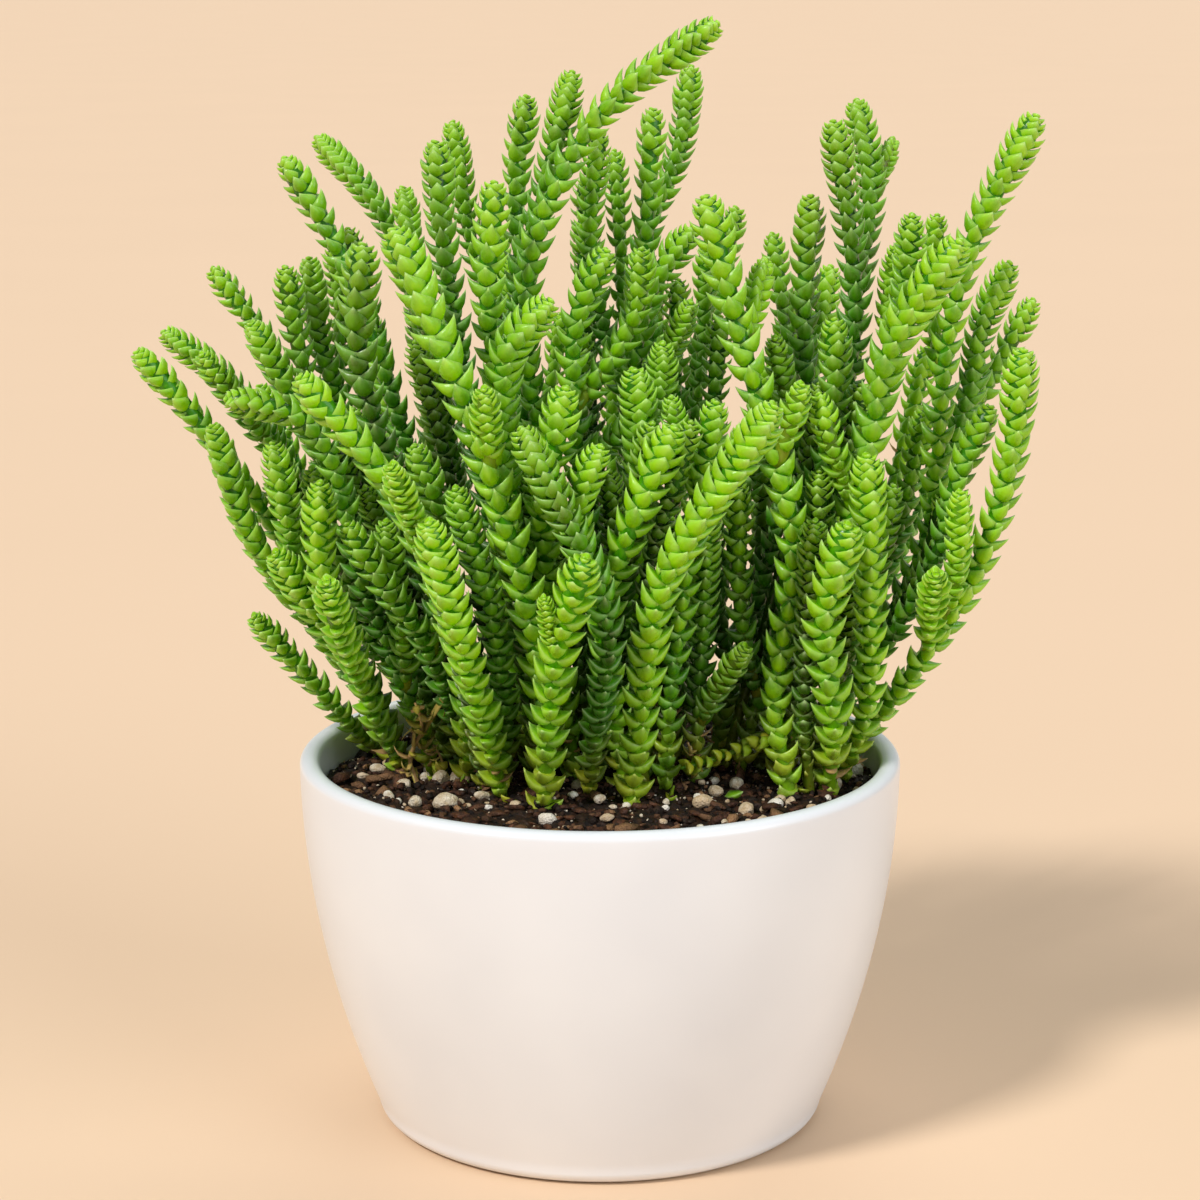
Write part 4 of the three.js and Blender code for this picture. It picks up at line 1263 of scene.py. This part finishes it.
bits = {
    # number, sizes and proportions; how finely the ball is divided that each is cut from, the number
    # of cuts and how far out they lie; how far it leans, in radians; how far it stays from the stems;
    # and how high its middle stands, as a share of its size
    "bark_chips": {"earth": "barkChips", "count": 800, "sizes": (0.6, 2.3), "shape": (1.2, 0.75, 0.45),
                   "ball": 1, "cuts": 5, "keep": (0.3, 0.75), "lean": 0.7, "clear": 0.6, "rise": 0.25},
    "soil_crumbs": {"earth": "peatSoil", "count": 2100, "sizes": (0.3, 0.95), "shape": (1, 0.8, 0.75),
                    "ball": 1, "cuts": 4, "keep": (0.4, 0.8), "lean": 1.2, "clear": 0.2, "rise": 0.35},
    "pumice_grains": {"earth": "pumiceGrains", "count": 120, "sizes": (0.45, 1.5), "shape": (1, 0.9, 0.8),
                      "ball": 2, "cuts": 7, "keep": (0.72, 0.95), "lean": 0.6, "clear": 0.6, "rise": 0.45},
    "pale_specks": {"earth": "pumiceGrains", "count": 700, "sizes": (0.14, 0.42), "shape": (1, 0.9, 0.8),
                    "ball": 1, "cuts": 4, "keep": (0.6, 0.9), "lean": 1.2, "clear": 0.2, "rise": 0.5},
}
# pale grains that show in front: x, y and radius. They are cut more finely
shownGrains = [
    (-33.5, 3.6, 1.4), (-29.7, -2.3, 0.9), (-23.8, -3.6, 1.4), (-21.4, -2.6, 1.1), (-20.1, -3.9, 1),
    (-22.4, -16, 1.8), (-17.2, -12, 1.3), (-12.2, -16.7, 1.2), (-16.2, -17, 0.7), (-35.7, -0.1, 0.9),
    (-31.1, -11, 1), (-28.7, 12, 1.7), (-27, -14.3, 1), (-29.1, -5.6, 1.1), (-26, 3, 0.8),
    (20.3, -6.7, 1.5), (15, -16.7, 1.7), (25.6, -14.3, 1.1), (28, -14.3, 0.7), (23.7, -18.2, 0.8),
    (21.2, -19, 1.3), (15.3, -10.4, 0.6), (34.9, -4.7, 1.5), (36.5, 1, 1.3), (9.6, -15.9, 0.7),
    (-4, -13, 0.8), (0, -16, 0.9), (1, -25, 0.9),
]
shownCut = {"ball": 3, "cuts": 9}
bitRange = {
    "largeShare": 0.35,  # of the bits are of any size, and the rest of a small one
    "smallTop": 0.45,
    "stretch": (0.75, 1.25),
    "shownRise": 0.5,
}


def ball(subdivisions):
    shape = bmesh.new()
    bmesh.ops.create_icosphere(shape, subdivisions=subdivisions, radius=1)
    points = np.array([vertex.co[:] for vertex in shape.verts])
    faces = np.array([[vertex.index for vertex in face.verts] for face in shape.faces])
    shape.free()
    return points, faces


def turned(rng, count, lean):
    # random turns about Z before and after a small tilt, as matrices
    def about(axis, angle):
        i, j = [k for k in range(3) if k != axis]
        rows = np.zeros((count, 3, 3))
        rows[:, axis, axis] = 1
        rows[:, i, i] = np.cos(angle)
        rows[:, j, j] = np.cos(angle)
        rows[:, i, j] = -np.sin(angle)
        rows[:, j, i] = np.sin(angle)
        return rows

    spin = rng.random(count) * 2 * math.pi
    tilt = (rng.random(count) - 0.5) * 2 * lean
    way = rng.random(count) * 2 * math.pi
    return about(2, way) @ about(0, tilt) @ about(2, spin)


def makeRocks(rng, centres, sizes, kind):
    # angular grains: balls cut flat by random planes
    points, faces = ball(kind["ball"])
    count = len(centres)
    shape = np.repeat(points[None], count, 0)
    for _ in range(kind["cuts"]):
        plane = unit(rng.normal(size=(count, 3)))[:, None]
        height = rng.uniform(*kind["keep"], count)[:, None]
        over = np.maximum(0, (shape * plane).sum(2) - height)
        shape = shape - over[..., None] * plane
    scale = np.array(kind["shape"])[None] * rng.uniform(*bitRange["stretch"], (count, 3))
    shape = shape * scale[:, None] * sizes[:, None, None]
    shape = np.einsum("nij,nvj->nvi", turned(rng, count, kind["lean"]), shape)
    shape += centres[:, None]
    offsets = np.arange(count)[:, None, None] * len(points)
    marks = {"bitKind": np.repeat(rng.random((count, 3)), len(points), 0)}
    return {"points": shape.reshape(-1, 3), "faces": [(faces[None] + offsets).reshape(-1, 3)], "marks": marks}


def scatter(rng, kind):
    # random places on the soil inside the rim, clear of the stems
    feet = np.array([strand["at"][2][:2] for strand in strands if strand["parent"] is None])
    smallest, largest = kind["sizes"]
    edge = soilEdge(soil["level"])
    spots = []
    while len(spots) < kind["count"]:
        isLarge = rng.random() < bitRange["largeShare"]
        size = rng.uniform(smallest, largest if isLarge else mix(smallest, largest, bitRange["smallTop"]))
        angle = rng.random() * 2 * math.pi
        r = (edge - size) * math.sqrt(rng.random())
        x = r * math.cos(angle)
        y = r * math.sin(angle)
        if np.hypot(feet[:, 0] - x, feet[:, 1] - y).min() > kind["clear"] + size:
            spots.append((x, y, size))
    x, y, size = np.array(spots).T
    return np.column_stack([x, y, crumbled(x, y) + size * kind["rise"]]), size


def addBits():
    rng = np.random.default_rng(11)
    for name, kind in bits.items():
        rocks = [makeRocks(rng, *scatter(rng, kind), kind)]
        if name == "pumice_grains":
            x, y, r = np.array(shownGrains).T
            shown = np.column_stack([x, y, crumbled(x, y) + r * bitRange["shownRise"]])
            rocks.append(makeRocks(rng, shown, r, {**kind, **shownCut}))
        addPiece(name, merge(rocks), earthMaterials[kind["earth"]])


addBits()
print("Loose bits laid")


litter = {
    # withered stems: path, width of the stem and of its curled leaves
    "withered": [
        ([[-27, -2, 50], [-28.5, -2.5, 55], [-26.5, -3, 60], [-27.5, -4, 64]], 1.1, 3.4),
        ([[-24.5, -1, 50], [-23.5, -2, 54], [-25, -2, 57]], 0.9, 3),
        ([[13.5, -4, 50], [14, -5, 55], [13, -6, 58.5]], 0.9, 2.0),
    ],
    "leafStart": 2,
    "leafGap": 0.9,
    "rings": 14,
    "thinning": (1, 0.4),  # of a withered stem, from its foot to its tip
    "uneven": (0.6, 1),
    # slopes in degrees at the root and at the point, and sizes as shares of the leaves' width
    "witheredLeaf": {"low": (-60, 0), "high": (20, 85), "reach": (0.4, 1), "start": 0.1, "lift": (-0.2, 0.5),
                     "half": (0.15, 0.35), "thick": (0.06, 0.16), "fading": (0.75, 1)},
    # sprouts: foot, height and width
    "sprouts": [((-24.5, -1.5), 3.4, 3.8), ((-20.5, -5.5), 2.6, 3.2), ((10.5, -12.5), 2.8, 3.0)],
    "sproutTone": 0.8,
    "sproutLean": 0.4,
    "sproutBare": 0.5,
    "fallen": [(4.5, -6), (-31, 5), (-13, -14), (19, -12), (30, -8), (-8, -17)],
    "fallenLeaf": {"lean": (-0.4, 0.4), "tilt": (-5.0, 25.0), "reach": (1.8, 3), "lift": 0.5,
                   "half": (0.8, 1.2), "thick": 0.9, "tone": (0.3, 0.9), "fading": (0, 0.7), "rise": 0.9},
}


def witheredStem(path, width, leafWidth, rng):
    leaf = litter["witheredLeaf"]
    line = measure(makeStrand("litter", path, width, 0))
    distance = np.arange(litter["leafStart"], line["length"], litter["leafGap"])
    count = len(distance)
    point, along, side, across = locate(line, distance)
    turn = rng.random(count)[:, None] * 2 * math.pi
    reach = leafWidth * rng.uniform(*leaf["reach"], count)
    form = {
        "tilt": np.column_stack([rng.uniform(*leaf["low"], count), rng.uniform(*leaf["high"], count)]),
        "reach": reach,
        "start": reach * leaf["start"],
        **{name: leafWidth * rng.uniform(*leaf[name], count) for name in ("lift", "half", "thick")},
    }
    kind = np.column_stack([np.zeros((count, 2)), rng.uniform(*leaf["fading"], count)])
    leaves = makeLeaves(youngLeaf, point, side * np.cos(turn) + across * np.sin(turn), along, form, kind)
    rings = litter["rings"]
    radii = width / 2 * rng.uniform(*litter["uneven"], rings) * np.linspace(*litter["thinning"], rings)
    fullyDry = np.tile([0, 0, 1.0], (rings, 1))
    return [leaves, makeCore(line, radii, np.linspace(0, line["length"], rings), fullyDry)]


def fallenLeaves(rng):
    leaf = litter["fallenLeaf"]
    x, y = np.array(litter["fallen"]).T
    count = len(x)
    up = unit(np.column_stack([rng.uniform(*leaf["lean"], (count, 2)), np.ones(count)]))
    way = unit(np.cross(up, rng.normal(size=(count, 3))))
    form = {
        "tilt": np.tile(leaf["tilt"], (count, 1)),
        "reach": rng.uniform(*leaf["reach"], count),
        "start": np.zeros(count),
        "lift": np.full(count, leaf["lift"]),
        "half": rng.uniform(*leaf["half"], count),
        "thick": np.full(count, leaf["thick"]),
    }
    tone = rng.uniform(*leaf["tone"], count)
    kind = np.column_stack([tone, np.zeros(count), rng.uniform(*leaf["fading"], count)])
    root = np.column_stack([x, y, crumbled(x, y) + leaf["rise"]])
    return makeLeaves(youngLeaf, root, way, up, form, kind)


def addLitter():
    # what lies between the stems' feet
    rng = np.random.default_rng(23)
    parts = [fallenLeaves(rng)]
    for path, width, leafWidth in litter["withered"]:
        parts += witheredStem(path, width, leafWidth, rng)
    for (x, y), height, width in litter["sprouts"]:
        level = soil["level"]
        path = [[x, y, level - 1], [x, y, level + height - 1], [x + litter["sproutLean"], y, level + height]]
        strand = makeStrand("litter", path, width, litter["sproutTone"], 0)
        strand["twist"] = rng.random()
        strand["line"] = measure(strand)
        parts += dressStrand(strand, litter["sproutBare"], rng)
    addPiece("litter", merge(parts), leafFlesh)


addLitter()
print("Litter laid")


# Floor and light

stageLook = {
    "floor": "e5c7a7",
    "floorRadius": 20000,
    "floorSides": 96,
    "cloud": {"Size": 180.0, "Detail": 2.0, "Low": 0.3, "High": 0.7},
    "cloudWeight": 0.06,
    "cloudShade": 0.8,
    "shader": {"Specular IOR Level": 0.2, "Roughness": 0.7},
    "world": (0.93, 0.96, 1.0, 1),
    "worldStrength": 0.34,
}
lamps = {
    # where it stands as seen from the pot, its strength, softness in degrees and colour
    "key": ((-0.75, -0.7, 1.1), 2.3, 11, (1, 0.99, 0.98)),
    "fill": ((0.95, -0.75, 0.55), 1.25, 40, (0.86, 0.93, 1)),
    "back": ((0.2, 0.9, 1.2), 0.8, 40, (1, 0.98, 0.95)),
}


def addFloor():
    material, tree, shader = newMaterial("paleFloor", stageLook["shader"])
    base = paint(stageLook["floor"])
    shaded = (*[c * stageLook["cloudShade"] for c in base[:3]], 1)
    share = maths(tree, "MULTIPLY", useMottle(tree, stageLook["cloud"]), stageLook["cloudWeight"])
    feed(tree, shader.inputs["Base Color"], blend(tree, share, base, shaded))
    sides = stageLook["floorSides"]
    rim = np.column_stack([circle(sides), np.zeros(sides)]) * stageLook["floorRadius"] * mm
    mesh = bpy.data.meshes.new("floor")
    mesh.from_pydata(rim.tolist(), [], [list(range(sides))])
    mesh.materials.append(material)
    floor = bpy.data.objects.new("floor", mesh)
    bpy.context.collection.objects.link(floor)


def addLamps():
    for name, (way, strength, softness, colour) in lamps.items():
        data = bpy.data.lights.new(name, "SUN")
        data.energy = strength
        data.angle = math.radians(softness)
        data.color = colour
        lamp = bpy.data.objects.new(name, data)
        lamp.location = way
        lamp.rotation_euler = (-Vector(way)).to_track_quat("-Z", "Y").to_euler()
        bpy.context.collection.objects.link(lamp)
    world = bpy.data.worlds.new("studio")
    world.use_nodes = True
    sky = world.node_tree.nodes["Background"]
    sky.inputs["Color"].default_value = stageLook["world"]
    sky.inputs["Strength"].default_value = stageLook["worldStrength"]
    bpy.context.scene.world = world


addFloor()
addLamps()
bpy.context.scene.view_settings.view_transform = "Standard"
print("Stage set")
